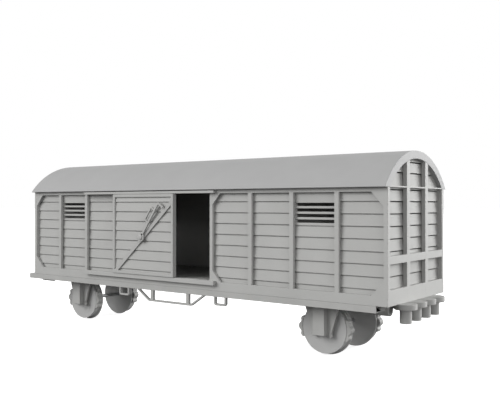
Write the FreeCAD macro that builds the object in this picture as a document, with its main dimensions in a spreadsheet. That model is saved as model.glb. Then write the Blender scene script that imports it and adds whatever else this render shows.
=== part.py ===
"""Model box car: a covered goods wagon with two axles, sliding side doors and a round roof.

Frame: +X runs along the car towards the end that carries the buffer pegs, +Z is up, and the
near side is the -Y side.  The origin is on the rail plane's lowest point (the wheel flanges),
under the middle of the body.  All lengths are millimetres.
"""
import FreeCAD, Part
import math
import os

import Sketcher

os.makedirs("parts", exist_ok=True)

doc = FreeCAD.newDocument("BoxCar")
sheet = doc.addObject("Spreadsheet::Sheet", "Dims")
V = FreeCAD.Vector


# ---------------------------------------------------------------- sizes that keep their formula
class Size:
    """A length that carries its value and the spreadsheet formula that it comes from."""

    def __init__(self, value, text):
        self.value = float(value)
        self.text = text

    def __add__(self, other):
        other = size(other)
        return Size(self.value + other.value, f"({self.text} + {other.text})")

    def __sub__(self, other):
        other = size(other)
        return Size(self.value - other.value, f"({self.text} - {other.text})")

    def __mul__(self, other):
        other = size(other)
        return Size(self.value * other.value, f"({self.text} * {other.text})")

    def __truediv__(self, other):
        other = size(other)
        return Size(self.value / other.value, f"({self.text} / {other.text})")

    def __radd__(self, other):
        return size(other) + self

    def __rsub__(self, other):
        return size(other) - self

    def __rmul__(self, other):
        return size(other) * self

    def __neg__(self):
        return size(-1) * self


def size(number):
    """Turn a plain number into a Size, and leave a Size as it is."""
    if isinstance(number, Size):
        return number
    return Size(number, f"{float(number):.6f}")


def dim(alias, value):
    """Write one driving dimension into the sheet and return it as a Size."""
    dim.row += 1
    sheet.set(f"A{dim.row}", alias)
    sheet.set(f"B{dim.row}", f"{value:g}")
    sheet.setAlias(f"B{dim.row}", alias)
    return Size(value, f"Dims.{alias}")


dim.row = 0

# body shell
BODY_LENGTH = dim("body_length", 420)
BODY_WIDTH = dim("body_width", 108.9)
BODY_BASE = dim("body_base", 48.5)
EAVE = dim("eave_height", 136.9)
FRAME_DEPTH = dim("frame_depth", 2.8)
BOARD_THICKNESS = dim("board_thickness", 2.5)
LAP_STEP = dim("lap_step", 0.85)
LAP_PITCH = dim("lap_pitch", 9.45)
TOP_LAP = dim("top_lap_height", 126.1)
WINDOW_LOW = dim("window_low", 56.2)
WINDOW_HIGH = dim("window_high", 133.55)
GUSSET_X = dim("gusset_width", 8.5)
GUSSET_Z = dim("gusset_height", 9.6)
CORNER_GUSSET_X = dim("corner_gusset_width", 10.15)
CORNER_GUSSET_Z = dim("corner_gusset_height", 11.5)
POST = dim("post_width", 3.9)
JAMB = dim("jamb_width", 3.3)
BAY = dim("bay_pitch", 41.7)
END_PANEL = dim("end_panel_width", 37.65)
# end walls
END_FRAME_DEPTH = dim("end_frame_depth", 3.45)
END_CORNER = dim("end_corner_width", 4.03)
END_LAYER = dim("end_board_layer", 1.65)
END_COLUMN = dim("end_column_width", 29.7)
END_BEAM_TOP = dim("end_beam_top", 60.55)
END_BAR_LOW = dim("end_bar_low", 79.45)
END_BAR_HIGH = dim("end_bar_high", 85.5)
EAVE_BAR_HIGH = dim("eave_bar_high", 138.0)
GABLE_LAP = dim("gable_lap_height", 157.7)
GABLE_PITCH = dim("gable_lap_pitch", 8.8)
# roof
ROOF_RADIUS = dim("roof_radius", 73.2)
ROOF_AXIS = dim("roof_axis_height", 93.6)
ROOF_THICKNESS = dim("roof_thickness", 6.5)
# louvres
LOUVRE_LOW = dim("louvre_low", 107.2)
LOUVRE_TOP_SLOT = dim("louvre_top_slot", 124.0)
LOUVRE_PITCH = dim("louvre_pitch", 4.45)
LOUVRE_SLOT = dim("louvre_slot", 2.6)
# floor
PLATE_THICKNESS = dim("plate_thickness", 2)
DECK_TOP = dim("deck_top", 57)
DECK_THICKNESS = dim("deck_thickness", 2.5)
BALLAST_LENGTH = dim("ballast_length", 300)
BALLAST_WIDTH = dim("ballast_width", 70)
BALLAST_THICKNESS = dim("ballast_thickness", 3.5)
# doors
DOORWAY = dim("doorway_width", 79)
DOORWAY_LOW = dim("doorway_low", 57.2)
DOORWAY_HIGH = dim("doorway_high", 133.9)
DOOR_WIDTH = dim("door_width", 79.8)
DOOR_LOW = dim("door_low", 57.5)
DOOR_HIGH = dim("door_high", 133.6)
DOOR_THICKNESS = dim("door_thickness", 4.55)
DOOR_OPENED = dim("near_door_opened", 39.9)
DOOR_STILE = dim("door_stile_width", 2.7)
DOOR_LAP_TOP = dim("door_lap_top", 125.95)
DOOR_LAP_PITCH = dim("door_lap_pitch", 9.15)
RAIL_LEFT = dim("rail_left", 123.9)
RAIL_RIGHT = dim("rail_right", 46.7)
RAIL_DEPTH = dim("rail_depth", 3.8)
BOTTOM_RAIL = dim("bottom_rail_low", 53.4)
TOP_RAIL = dim("top_rail_high", 136.1)
GROOVE = dim("groove_width", 1.6)
RUN_GAP = dim("running_gap", 0.3)
DOOR_TRIM = dim("door_trim_depth", 1)
BRACE_RISE = dim("brace_rise", 4.59)
BRACE_FOOT = dim("brace_foot_drop", 1.8)
BRACE_SLOPE = dim("brace_slope", 0.87)
LEVER_LENGTH = dim("lever_length", 40.4)
LEVER_WIDTH = dim("lever_width", 2)
LEVER_THICKNESS = dim("lever_thickness", 1.7)
LEVER_HOOK = dim("lever_hook", 7.2)
LOOP_START = dim("pull_loop_start", 16)
LOOP_END = dim("pull_loop_end", 31.8)
LOOP_REACH = dim("pull_loop_reach", 5.8)
LOOP_BAR = dim("pull_loop_bar", 1.6)
PIN_RADIUS = dim("pin_radius", 1.5)
PIN_HEAD_RADIUS = dim("pin_head_radius", 2.6)
BOSS_RADIUS = dim("boss_radius", 4.2)
BOSS_HEIGHT = dim("boss_height", 93.2)
# underframe
UNDERFRAME_X = dim("underframe_shift", -9.3)
SILL_LENGTH = dim("sill_length", 419.1)
SILL_HEIGHT = dim("sill_height", 5.3)
SILL_WEB = dim("sill_web", 1.6)
SILL_FLANGE = dim("sill_flange", 8)
WHEELBASE = dim("wheelbase", 300.6)
AXLE_HEIGHT = dim("axle_height", 22.3)
TREAD_RADIUS = dim("tread_radius", 20.7)
FLANGE_RADIUS = dim("flange_radius", 22.3)
BACK_TO_BACK = dim("back_to_back", 41)
WHEEL_WIDTH = dim("wheel_width", 8.6)
JOURNAL_RADIUS = dim("journal_radius", 1.5)
AXLE_RADIUS = dim("axle_radius", 1.7)
BUSH_RADIUS = dim("bush_radius", 2.6)
BUSH_CLEARANCE = dim("bush_clearance", 0.05)
GUARD_Y = dim("guard_inner_face", 31.6)
GUARD_THICKNESS = dim("guard_thickness", 1.9)
AXLEBOX_DEPTH = dim("axlebox_depth", 5)
AXLEBOX_WIDTH = dim("axlebox_width", 10.8)
SLEEVE_RADIUS = dim("sleeve_radius", 4.6)
SLEEVE_LENGTH = dim("sleeve_length", 17.6)
SLEEVE_Y = dim("sleeve_offset", 33.7)
PEG_HEAD_RADIUS = dim("peg_head_radius", 8.8)
PEG_RADIUS = dim("peg_radius", 4.6)
PEG_PITCH = dim("peg_pitch", 18.4)
PEG_X = dim("peg_station", 211.9)
PEG_FOOT = dim("peg_foot", 33.4)
PEG_HEAD_HEIGHT = dim("peg_head_height", 4.4)
ROD_BAR = dim("rod_bar", 1.7)
ROD_DEPTH = dim("rod_depth", 2.8)
ROD_SET_IN = dim("rod_set_in", 0.3)
ROD_DROP = dim("truss_drop", 10.5)
TRUSS_REACH = dim("truss_reach", 42.5)
TRUSS_FLAT = dim("truss_flat", 26.4)
QUEEN_POST = dim("queen_post_offset", 22.3)
QUEEN_WIDTH = dim("queen_post_width", 3.4)
STEP_DROP = dim("step_drop", 7.5)
STEP_INNER = dim("step_inner", 53.3)
STEP_OUTER = dim("step_outer", 66.8)
GUARD_HALF_TOP = dim("guard_half_top", 16.6)
GUARD_HALF_FOOT = dim("guard_half_foot", 8.4)
GUARD_LOBE = dim("guard_lobe_radius", 1.9)
CROSS_OFFSET = dim("cross_member_offset", 26)
HANGER_Y = dim("hanger_start", 23.4)
HANGER_WIDTH = dim("hanger_width", 2.6)
HANGER_THICKNESS = dim("hanger_thickness", 1.3)
HANGER_INSIDE = dim("hanger_inside", 9.6)
HANGER_POST = dim("hanger_post_width", 1.6)
HANGER_FOOT = dim("hanger_post_foot", 18.7)
doc.recompute()

# sizes that follow from the driving ones
HALF_LENGTH = BODY_LENGTH / 2
HALF_WIDTH = BODY_WIDTH / 2
FRAME_BACK = HALF_WIDTH - FRAME_DEPTH
BOARD_FACE = FRAME_BACK - LAP_STEP
BOARD_BACK = BOARD_FACE - BOARD_THICKNESS
END_FRAME_BACK = HALF_LENGTH - END_FRAME_DEPTH
CORNER_X = END_FRAME_BACK
LAYER_BACK = END_FRAME_BACK - END_LAYER
END_HALF = HALF_WIDTH - END_CORNER
END_FACE = END_FRAME_BACK - LAP_STEP
END_BOARD_BACK = END_FACE - BOARD_THICKNESS
ROOF_INNER = ROOF_RADIUS - ROOF_THICKNESS
SILL_LOW = BODY_BASE - SILL_HEIGHT
PLATE_TOP = BODY_BASE + PLATE_THICKNESS
DOOR_BACK = HALF_WIDTH + RUN_GAP
DOOR_FACE = DOOR_BACK + DOOR_THICKNESS
WHEEL_BACK = BACK_TO_BACK / 2
WHEEL_FACE = WHEEL_BACK + WHEEL_WIDTH
GUARD_FACE = GUARD_Y + GUARD_THICKNESS
AXLEBOX_FACE = GUARD_FACE + AXLEBOX_DEPTH
END_POST = (BODY_WIDTH - 2 * END_CORNER - 3 * END_COLUMN) / 2

SIDES = {"near": -1, "far": 1}
ENDS = {"left": -1, "right": 1}


# ---------------------------------------------------------------- building blocks
def bind(obj, **sizes):
    """Set each property and tie it to its formula."""
    for name, value in sizes.items():
        value = size(value)
        setattr(obj, name, value.value)
        obj.setExpression(name, value.text)


def put(obj, x, y, z):
    """Place an object and tie the three coordinates to their formulas."""
    spot = [size(x), size(y), size(z)]
    obj.Placement = FreeCAD.Placement(V(*[s.value for s in spot]), obj.Placement.Rotation)
    for axis, value in zip("xyz", spot):
        obj.setExpression(f"Placement.Base.{axis}", value.text)


def box(name, xs, ys, zs):
    """A box between two planes along each axis."""
    obj = doc.addObject("Part::Box", name)
    bind(obj, Length=size(xs[1]) - xs[0], Width=size(ys[1]) - ys[0], Height=size(zs[1]) - zs[0])
    put(obj, xs[0], ys[0], zs[0])
    return obj


TURNS = {
    "X": FreeCAD.Rotation(V(0, 1, 0), 90),
    "Y": FreeCAD.Rotation(V(1, 0, 0), -90),
    "Z": FreeCAD.Rotation(),
}


def rod(name, axis, start, radius, length):
    """A cylinder that runs from start in the positive direction of one axis."""
    obj = doc.addObject("Part::Cylinder", name)
    bind(obj, Radius=radius, Height=length)
    obj.Placement = FreeCAD.Placement(V(), TURNS[axis])
    put(obj, *start)
    return obj


def cut(name, base, *tools):
    """The base with every tool taken away."""
    obj = doc.addObject("Part::Cut", name)
    obj.Base = base
    obj.Tool = tools[0] if len(tools) == 1 else group(name + "_cutters", *tools)
    return obj


def fuse(name, *pieces):
    """Several pieces joined into one solid."""
    obj = doc.addObject("Part::MultiFuse", name)
    obj.Shapes = list(pieces)
    obj.Refine = True
    return obj


def common(name, *pieces):
    """The space that all the pieces share."""
    obj = doc.addObject("Part::MultiCommon", name)
    obj.Shapes = list(pieces)
    return obj


def group(name, *pieces):
    """Separate solids kept together as one node."""
    obj = doc.addObject("Part::Compound", name)
    obj.Links = list(pieces)
    return obj


# plane of the sketch, and how a global position along the normal becomes the attachment offset
PLANES = {"X": ("YZ_Plane", 1), "Y": ("XZ_Plane", -1), "Z": ("XY_Plane", 1)}


def add_loops(sketch, loops):
    """Draw closed loops of straight lines, every corner tied to the origin by its formulas."""
    constraints = []
    formulas = []
    for loop in loops:
        corners = [(size(a), size(b)) for a, b in loop]
        first = sketch.GeometryCount
        count = len(corners)
        for i, (a, b) in enumerate(corners):
            c, d = corners[(i + 1) % count]
            sketch.addGeometry(Part.LineSegment(V(a.value, b.value, 0), V(c.value, d.value, 0)), False)
        for i, (a, b) in enumerate(corners):
            constraints.append(Sketcher.Constraint("Coincident", first + i, 2, first + (i + 1) % count, 1))
            formulas.append(None)
            constraints.append(Sketcher.Constraint("DistanceX", -1, 1, first + i, 1, a.value))
            formulas.append(a.text)
            constraints.append(Sketcher.Constraint("DistanceY", -1, 1, first + i, 1, b.value))
            formulas.append(b.text)
    sketch.addConstraint(constraints)
    for i, text in enumerate(formulas):
        if text:
            sketch.setExpression(f"Constraints[{i}]", text)


def new_sketch(body, name, axis, station, loops):
    """A sketch on the body's own origin plane that is square to axis, moved to its station."""
    role, sign = PLANES[axis]
    sketch = body.newObject("Sketcher::SketchObject", name)
    plane = [f for f in body.Origin.OriginFeatures if f.Role == role][0]
    sketch.AttachmentSupport = [(plane, "")]
    sketch.MapMode = "FlatFace"
    station = size(station) * sign
    sketch.AttachmentOffset = FreeCAD.Placement(V(0, 0, station.value), FreeCAD.Rotation())
    sketch.setExpression("AttachmentOffset.Base.z", station.text)
    add_loops(sketch, loops)
    return sketch


def plate(name, axis, span, loops):
    """A body padded from closed loops, filling the span between two planes square to axis."""
    low, high = size(span[0]), size(span[1])
    body = doc.addObject("PartDesign::Body", name)
    start = high if axis == "Y" else low
    sketch = new_sketch(body, name + "_sketch", axis, start, loops)
    pad = body.newObject("PartDesign::Pad", name + "_pad")
    pad.Profile = sketch
    bind(pad, Length=high - low)
    sketch.Visibility = False
    body.Tip = pad
    return body


def turned(name, x, loop):
    """A body turned about an axle: the loop gives (Y, radius) corners about the axle's line."""
    body = doc.addObject("PartDesign::Body", name)
    sketch = new_sketch(body, name + "_sketch", "X", x, [loop])
    sketch.setExpression("AttachmentOffset.Base.y", AXLE_HEIGHT.text)
    revolution = body.newObject("PartDesign::Revolution", name + "_turn")
    revolution.Profile = sketch
    revolution.ReferenceAxis = (sketch, ["H_Axis"])
    revolution.Angle = 360
    body.Tip = revolution
    return body


def band(side, inner, outer):
    """The Y span between two distances from the centre plane, on one side of the car."""
    return (inner, outer) if side > 0 else (-size(outer), -size(inner))


def rectangle(xs, zs):
    """A rectangle as a closed loop."""
    return [(xs[0], zs[0]), (xs[1], zs[0]), (xs[1], zs[1]), (xs[0], zs[1])]


nodes = {}


def keep(name, obj):
    """Label a finished sub-part; its label names its file."""
    obj.Label = name
    nodes[name] = obj
    return obj


# ---------------------------------------------------------------- side frames
POST_EDGES = [CORNER_X - END_PANEL - POST - (2 - k) * BAY for k in range(3)]
DOOR_EDGE = DOORWAY / 2 + JAMB


def mirrored(loops):
    """The same loops reflected to the other end of the car."""
    return [[(-size(x), z) for x, z in loop] for loop in loops]


def panel_windows():
    """The openings between the posts of both halves, with gussets beside doorway and corners."""
    doorway_panel = [
        (DOOR_EDGE + GUSSET_X, WINDOW_LOW),
        (POST_EDGES[0], WINDOW_LOW),
        (POST_EDGES[0], WINDOW_HIGH),
        (DOOR_EDGE + GUSSET_X, WINDOW_HIGH),
        (DOOR_EDGE, WINDOW_HIGH - GUSSET_Z),
        (DOOR_EDGE, WINDOW_LOW + GUSSET_Z),
    ]
    heights = (WINDOW_LOW, WINDOW_HIGH)
    middle_panels = [rectangle((POST_EDGES[k] + POST, POST_EDGES[k + 1]), heights) for k in range(2)]
    past = CORNER_X + 1
    corner_panel = [
        (POST_EDGES[2] + POST, WINDOW_LOW),
        (CORNER_X - CORNER_GUSSET_X, WINDOW_LOW),
        (CORNER_X, WINDOW_LOW + CORNER_GUSSET_Z),
        (past, WINDOW_LOW + CORNER_GUSSET_Z),
        (past, WINDOW_HIGH - CORNER_GUSSET_Z),
        (CORNER_X, WINDOW_HIGH - CORNER_GUSSET_Z),
        (CORNER_X - CORNER_GUSSET_X, WINDOW_HIGH),
        (POST_EDGES[2] + POST, WINDOW_HIGH),
    ]
    half = [doorway_panel, *middle_panels, corner_panel]
    return half + mirrored(half)


def side_frame(word, side):
    """Posts, rails and gussets of one side, with a header and a threshold across the doorway."""
    ys = band(side, FRAME_BACK, HALF_WIDTH)
    through = band(side, FRAME_BACK - 1, HALF_WIDTH + 1)
    openings = plate(f"frame_openings_{word}", "Y", through, panel_windows())
    doorway_xs = (-DOORWAY / 2, DOORWAY / 2)
    pieces = [box(f"door_header_{word}", doorway_xs, ys, (DOORWAY_HIGH, EAVE)),
              box(f"door_threshold_{word}", doorway_xs, ys, (BODY_BASE, DOORWAY_LOW))]
    for end_word, end in ENDS.items():
        xs = (DOORWAY / 2, CORNER_X) if end > 0 else (-CORNER_X, -DOORWAY / 2)
        blank = box(f"frame_blank_{word}_{end_word}", xs, ys, (BODY_BASE, EAVE))
        pieces.append(cut(f"frame_panel_{word}_{end_word}", blank, openings))
    keep(f"side_frame_{word}", group(f"side_frame_all_{word}", *pieces))


# ---------------------------------------------------------------- side boards and louvres
def lap_outline(side, back, face, step, low, high, laps):
    """Section of lapped boards: each board thickens downwards by step and ends on its lap line."""
    points = [(back, low), (face, low)]
    for lap in laps:
        points.append((face, lap))
        points.append((face + step, lap))
    points.append((face, high))
    points.append((back, high))
    return [(side * size(y), z) for y, z in points]


def louvre_span(side_x):
    """X span of a louvre insert, which reaches one millimetre behind its posts."""
    low = POST_EDGES[1] + POST - 1
    high = POST_EDGES[2] + 1
    return (low, high) if side_x > 0 else (-high, -low)


def side_boards(word, side, end_word, end):
    """The boards of one half of a side, with the hole that takes the louvre insert.

    Past the edge of the end boards only a thin outer layer goes on, as far as the corner post.
    """
    laps = [TOP_LAP - k * LAP_PITCH for k in range(7, -1, -1)]
    section = lap_outline(side, BOARD_BACK, BOARD_FACE, LAP_STEP, BODY_BASE, EAVE, laps)
    layer = lap_outline(side, END_HALF, BOARD_FACE, LAP_STEP, BODY_BASE, EAVE, laps)
    core = plate(f"boards_core_{word}_{end_word}", "X", ordered(end, DOORWAY / 2, LAYER_BACK), [section])
    tail = plate(f"boards_tail_{word}_{end_word}", "X", ordered(end, LAYER_BACK, CORNER_X), [layer])
    boards = fuse(f"boards_blank_{word}_{end_word}", core, tail)
    hole = box(f"boards_hole_{word}_{end_word}", louvre_span(end),
               band(side, BOARD_BACK - 1, HALF_WIDTH), (LOUVRE_LOW, WINDOW_HIGH + 1))
    keep(f"side_boards_{word}_{end_word}", cut(f"boards_cut_{word}_{end_word}", boards, hole))


def louvre(word, side, end_word, end):
    """A flat insert with four slots right across its panel."""
    span = louvre_span(end)
    insert = plate(f"louvre_blank_{word}_{end_word}", "Y", band(side, BOARD_BACK, BOARD_FACE + 0.4),
                   [rectangle(span, (LOUVRE_LOW, WINDOW_HIGH + 1))])
    slots = []
    for k in range(4):
        middle = LOUVRE_TOP_SLOT - k * LOUVRE_PITCH
        slots.append(box(f"slot_{word}_{end_word}_{k + 1}", (span[0] + 1.4, span[1] - 1.4),
                         band(side, BOARD_BACK - 1, HALF_WIDTH),
                         (middle - LOUVRE_SLOT / 2, middle + LOUVRE_SLOT / 2)))
    keep(f"louvre_{word}_{end_word}", cut(f"louvre_cut_{word}_{end_word}", insert, *slots))


# ---------------------------------------------------------------- end walls
def below_roof(name, xs):
    """A slug with the end wall's outline: a rectangle up to the eaves and the roof's inner arc."""
    wall = box(name + "_wall", xs, (-HALF_WIDTH, HALF_WIDTH), (BODY_BASE, EAVE))
    arc = rod(name + "_arc", "X", (xs[0], 0, ROOF_AXIS), ROOF_INNER, size(xs[1]) - xs[0])
    top = common(name + "_top", arc, box(name + "_above", xs, (-HALF_WIDTH, HALF_WIDTH),
                                         (EAVE, ROOF_AXIS + ROOF_RADIUS)))
    return fuse(name, wall, top)


def ordered(end, inner, outer):
    """The X span between two distances from the middle, at one end of the car."""
    return (inner, outer) if end > 0 else (-size(outer), -size(inner))


def end_frame(word, end):
    """Corner posts, two middle posts, bottom beam, waist bar and eave bar of one end wall."""
    blank = below_roof(f"end_blank_{word}", ordered(end, END_FRAME_BACK, HALF_LENGTH))
    columns = []
    start = -END_HALF
    for k in range(3):
        low = start + k * (END_COLUMN + END_POST)
        columns.append((low, low + END_COLUMN))
    rows = [(END_BEAM_TOP, END_BAR_LOW), (END_BAR_HIGH, EAVE), (EAVE_BAR_HIGH, ROOF_AXIS + ROOF_RADIUS)]
    loops = [rectangle(column, row) for column in columns for row in rows]
    openings = plate(f"end_openings_{word}", "X", ordered(end, END_FRAME_BACK - 1, HALF_LENGTH + 1), loops)
    whole = cut(f"end_panel_{word}", blank, openings)
    if end > 0:
        whole = cut(f"end_drilled_{word}", whole, *peg_spigots("spigot_hole"))
    keep(f"end_frame_{word}", whole)


def end_boards(word, end):
    """Lapped boards behind the end frame, up to the roof's inner arc."""
    laps = [TOP_LAP - k * LAP_PITCH for k in range(7, -1, -1)]
    laps += [GABLE_LAP - GABLE_PITCH, GABLE_LAP]
    section = [(LAYER_BACK, BODY_BASE), (END_FACE, BODY_BASE)]
    for lap in laps:
        section.append((END_FACE, lap))
        section.append((END_FRAME_BACK, lap))
    section.append((END_FACE, ROOF_AXIS + ROOF_RADIUS))
    section.append((LAYER_BACK, ROOF_AXIS + ROOF_RADIUS))
    section = [(end * size(x), z) for x, z in section]
    front = plate(f"end_laps_{word}", "Y", (-END_HALF, END_HALF), [section])
    back = box(f"end_backing_{word}", ordered(end, END_BOARD_BACK, LAYER_BACK),
               (-BOARD_BACK, BOARD_BACK), (BODY_BASE, ROOF_AXIS + ROOF_RADIUS))
    wall = below_roof(f"end_wall_{word}", ordered(end, END_BOARD_BACK - 1, HALF_LENGTH))
    boards = fuse(f"end_boards_all_{word}", front, back)
    keep(f"end_boards_{word}", common(f"end_boards_cut_{word}", boards, wall))


# ---------------------------------------------------------------- roof and floor
def roof():
    """A shell bent to a round arc, resting on the side frames with its eaves past them."""
    span = (-HALF_LENGTH, HALF_LENGTH)
    outer = rod("roof_outer", "X", (-HALF_LENGTH, 0, ROOF_AXIS), ROOF_RADIUS, BODY_LENGTH)
    inner = rod("roof_inner", "X", (-HALF_LENGTH - 1, 0, ROOF_AXIS), ROOF_INNER, BODY_LENGTH + 2)
    above = box("roof_above", span, (-ROOF_RADIUS, ROOF_RADIUS), (EAVE, ROOF_AXIS + ROOF_RADIUS + 1))
    keep("roof", common("roof_shell", cut("roof_ring", outer, inner), above))


SCREW_SPOTS = [(x, y) for x in (-175, 0, 175) for y in (-43, 43)]


def floor():
    """Base plate, steel ballast and cargo deck, stacked, and the screws that hold them together."""
    xs = (-END_BOARD_BACK, END_BOARD_BACK)
    ys = (-BOARD_BACK, BOARD_BACK)
    deck_low = DECK_TOP - DECK_THICKNESS
    holes = [rod(f"plate_hole_{k}", "Z", (x, y, BODY_BASE - 1), 1.2, 4)
             for k, (x, y) in enumerate(SCREW_SPOTS)]
    base = box("base_blank", xs, ys, (BODY_BASE, PLATE_TOP))
    keep("base_plate", cut("base_cut", base, *holes))
    ballast = box("ballast", (-BALLAST_LENGTH / 2, BALLAST_LENGTH / 2),
                  (-BALLAST_WIDTH / 2, BALLAST_WIDTH / 2), (PLATE_TOP, PLATE_TOP + BALLAST_THICKNESS))
    keep("ballast_weight", ballast)
    deck = box("deck_blank", xs, ys, (deck_low, DECK_TOP))
    ribs = [box(f"deck_rib_{word}", (-195, 195), band(side, 41, 45), (PLATE_TOP, deck_low))
            for word, side in SIDES.items()]
    bores = [rod(f"deck_hole_{k}", "Z", (x, y, PLATE_TOP - 1), 1.2, 6.5)
             for k, (x, y) in enumerate(SCREW_SPOTS)]
    keep("floor_deck", cut("deck_cut", fuse("deck_joined", deck, *ribs), *bores))
    screws = []
    for k, (x, y) in enumerate(SCREW_SPOTS):
        head = rod(f"screw_head_{k}", "Z", (x, y, BODY_BASE - 1.4), 2.2, 1.4)
        shank = rod(f"screw_shank_{k}", "Z", (x, y, BODY_BASE), 1.2, 7)
        screws.append(fuse(f"screw_{k}", head, shank))
    keep("body_screws", group("body_screws_all", *screws))


# ---------------------------------------------------------------- sliding doors and their rails
def door_middle(side):
    """Where the middle of a door stands: the near door half open, the far door closed."""
    return -DOOR_OPENED if side < 0 else size(0)


def door_rails(word, side):
    """Grooved rails above and below a door.  They reach past the doorway to the side it opens to."""
    xs = (-RAIL_LEFT, RAIL_RIGHT) if side < 0 else (-RAIL_RIGHT, RAIL_LEFT)
    groove_xs = (size(xs[0]) + 0.8, size(xs[1]) - 0.8)
    outer = HALF_WIDTH + RAIL_DEPTH
    groove = band(side, HALF_WIDTH + 1.45, HALF_WIDTH + 1.45 + GROOVE)
    low = box(f"rail_low_{word}", xs, band(side, HALF_WIDTH, outer), (BOTTOM_RAIL, DOORWAY_LOW))
    low_groove = box(f"rail_low_groove_{word}", groove_xs, groove, (DOORWAY_LOW - 1.6, DOORWAY_LOW + 1))
    top = box(f"rail_top_{word}", xs, band(side, HALF_WIDTH, outer), (DOORWAY_HIGH, TOP_RAIL))
    top_groove = box(f"rail_top_groove_{word}", groove_xs, groove, (DOORWAY_HIGH - 1, DOORWAY_HIGH + 1.3))
    keep(f"door_rails_{word}", group(f"rails_{word}", cut(f"rail_low_cut_{word}", low, low_groove),
                                     cut(f"rail_top_cut_{word}", top, top_groove)))


def door_window(middle):
    """The opening inside a door's frame."""
    half = DOOR_WIDTH / 2 - DOOR_STILE
    return (middle - half, middle + half), (DOOR_LOW + DOOR_STILE, DOOR_HIGH - DOOR_STILE)


def door(word, side):
    """Frame, lapped boards and diagonal brace of one sliding door."""
    middle = door_middle(side)
    half = DOOR_WIDTH / 2
    xs = (middle - half, middle + half)
    inside, heights = door_window(middle)
    frame = plate(f"door_blank_{word}", "Y", band(side, DOOR_BACK, DOOR_FACE),
                  [rectangle(xs, (DOOR_LOW, DOOR_HIGH)), rectangle(inside, heights)])
    tongue_y = band(side, HALF_WIDTH + 1.75, HALF_WIDTH + 2.75)
    tongue_xs = (xs[0] + 2, xs[1] - 2)
    tongues = [box(f"tongue_low_{word}", tongue_xs, tongue_y, (DOORWAY_LOW - 1.2, DOOR_LOW)),
               box(f"tongue_top_{word}", tongue_xs, tongue_y, (DOOR_HIGH, DOORWAY_HIGH + 0.9))]
    keep(f"door_frame_{word}", fuse(f"door_frame_joined_{word}", frame, *tongues))

    laps = [DOOR_LAP_TOP - k * DOOR_LAP_PITCH for k in range(7, -1, -1)]
    face = DOOR_FACE - DOOR_TRIM - LAP_STEP
    section = lap_outline(side, DOOR_BACK, face, LAP_STEP, heights[0], heights[1], laps)
    boards = plate(f"door_boards_blank_{word}", "X", inside, [section])
    through = band(side, DOOR_BACK - 1, DOOR_FACE)
    pin = rod(f"latch_hole_{word}", "Y", (middle, through[0], BOSS_HEIGHT), PIN_RADIUS, DOOR_THICKNESS + 1)
    keep(f"door_boards_{word}", cut(f"door_boards_cut_{word}", boards, pin))

    turn = -side
    rise = BRACE_RISE / 2
    reach = half - DOOR_STILE
    low_z, high_z = heights[0] - BRACE_FOOT, BOSS_HEIGHT + reach * BRACE_SLOPE
    loop = [(middle - turn * reach, low_z - rise), (middle + turn * reach, high_z - rise),
            (middle + turn * reach, high_z + rise), (middle - turn * reach, low_z + rise)]
    bar = plate(f"brace_blank_{word}", "Y", band(side, DOOR_FACE - DOOR_TRIM, DOOR_FACE), [loop])
    around = band(side, DOOR_FACE - 2, DOOR_FACE + 1)
    inner = box(f"brace_limit_{word}", inside, around, heights)
    hole = rod(f"brace_hole_{word}", "Y", (middle, around[0], BOSS_HEIGHT), PIN_RADIUS, 3)
    keep(f"door_brace_{word}", cut(f"brace_cut_{word}", common(f"brace_bar_{word}", bar, inner), hole))


def latch(word, side):
    """A lever with a hooked tip and a pull loop, turning on a headed pin in the door's middle."""
    middle = door_middle(side)
    turn = -side
    angle = math.radians(54.7)
    lift = Size(math.cos(angle), f"{math.cos(angle):.6f}")
    rise = Size(math.sin(angle), f"{math.sin(angle):.6f}")

    def spot(along, across):
        """A point of the lever: along its length, and across it towards the pull loop."""
        x = size(along) * lift - size(across) * rise
        z = size(along) * rise + size(across) * lift
        return (middle + turn * x, BOSS_HEIGHT + z)

    half = LEVER_WIDTH / 2
    tip = LEVER_LENGTH
    outline = [spot(0, -half), spot(tip - LEVER_WIDTH, -half), spot(tip - LEVER_WIDTH, -LEVER_HOOK),
               spot(tip, -LEVER_HOOK), spot(tip, half), spot(LOOP_END, half), spot(LOOP_END, LOOP_REACH),
               spot(LOOP_START, LOOP_REACH), spot(LOOP_START, half), spot(0, half)]
    slot_low, slot_high = LOOP_START + LOOP_BAR, LOOP_END - LOOP_BAR
    slot_near, slot_far = half + 0.4, LOOP_REACH - LOOP_BAR
    slot = [spot(slot_low, slot_near), spot(slot_high, slot_near), spot(slot_high, slot_far),
            spot(slot_low, slot_far)]
    back = DOOR_FACE + RUN_GAP
    face = back + LEVER_THICKNESS
    ys = band(side, back, face)
    bar = plate(f"lever_bar_{word}", "Y", ys, [outline, slot])
    eye = rod(f"lever_eye_{word}", "Y", (middle, ys[0], BOSS_HEIGHT), BOSS_RADIUS, LEVER_THICKNESS)
    hole_spot = (middle, size(ys[0]) - 1, BOSS_HEIGHT)
    hole = rod(f"lever_hole_{word}", "Y", hole_spot, PIN_RADIUS + BUSH_CLEARANCE, 4)
    keep(f"latch_lever_{word}", cut(f"lever_cut_{word}", fuse(f"lever_joined_{word}", bar, eye), hole))

    under_head = face + 0.1
    shank_ys = band(side, DOOR_BACK, under_head)
    shank_spot = (middle, shank_ys[0], BOSS_HEIGHT)
    shank = rod(f"pin_shank_{word}", "Y", shank_spot, PIN_RADIUS, under_head - DOOR_BACK)
    head_ys = band(side, under_head, under_head + 1)
    head = rod(f"pin_head_{word}", "Y", (middle, head_ys[0], BOSS_HEIGHT), PIN_HEAD_RADIUS, 1)
    keep(f"latch_pin_{word}", fuse(f"pin_joined_{word}", shank, head))


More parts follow.
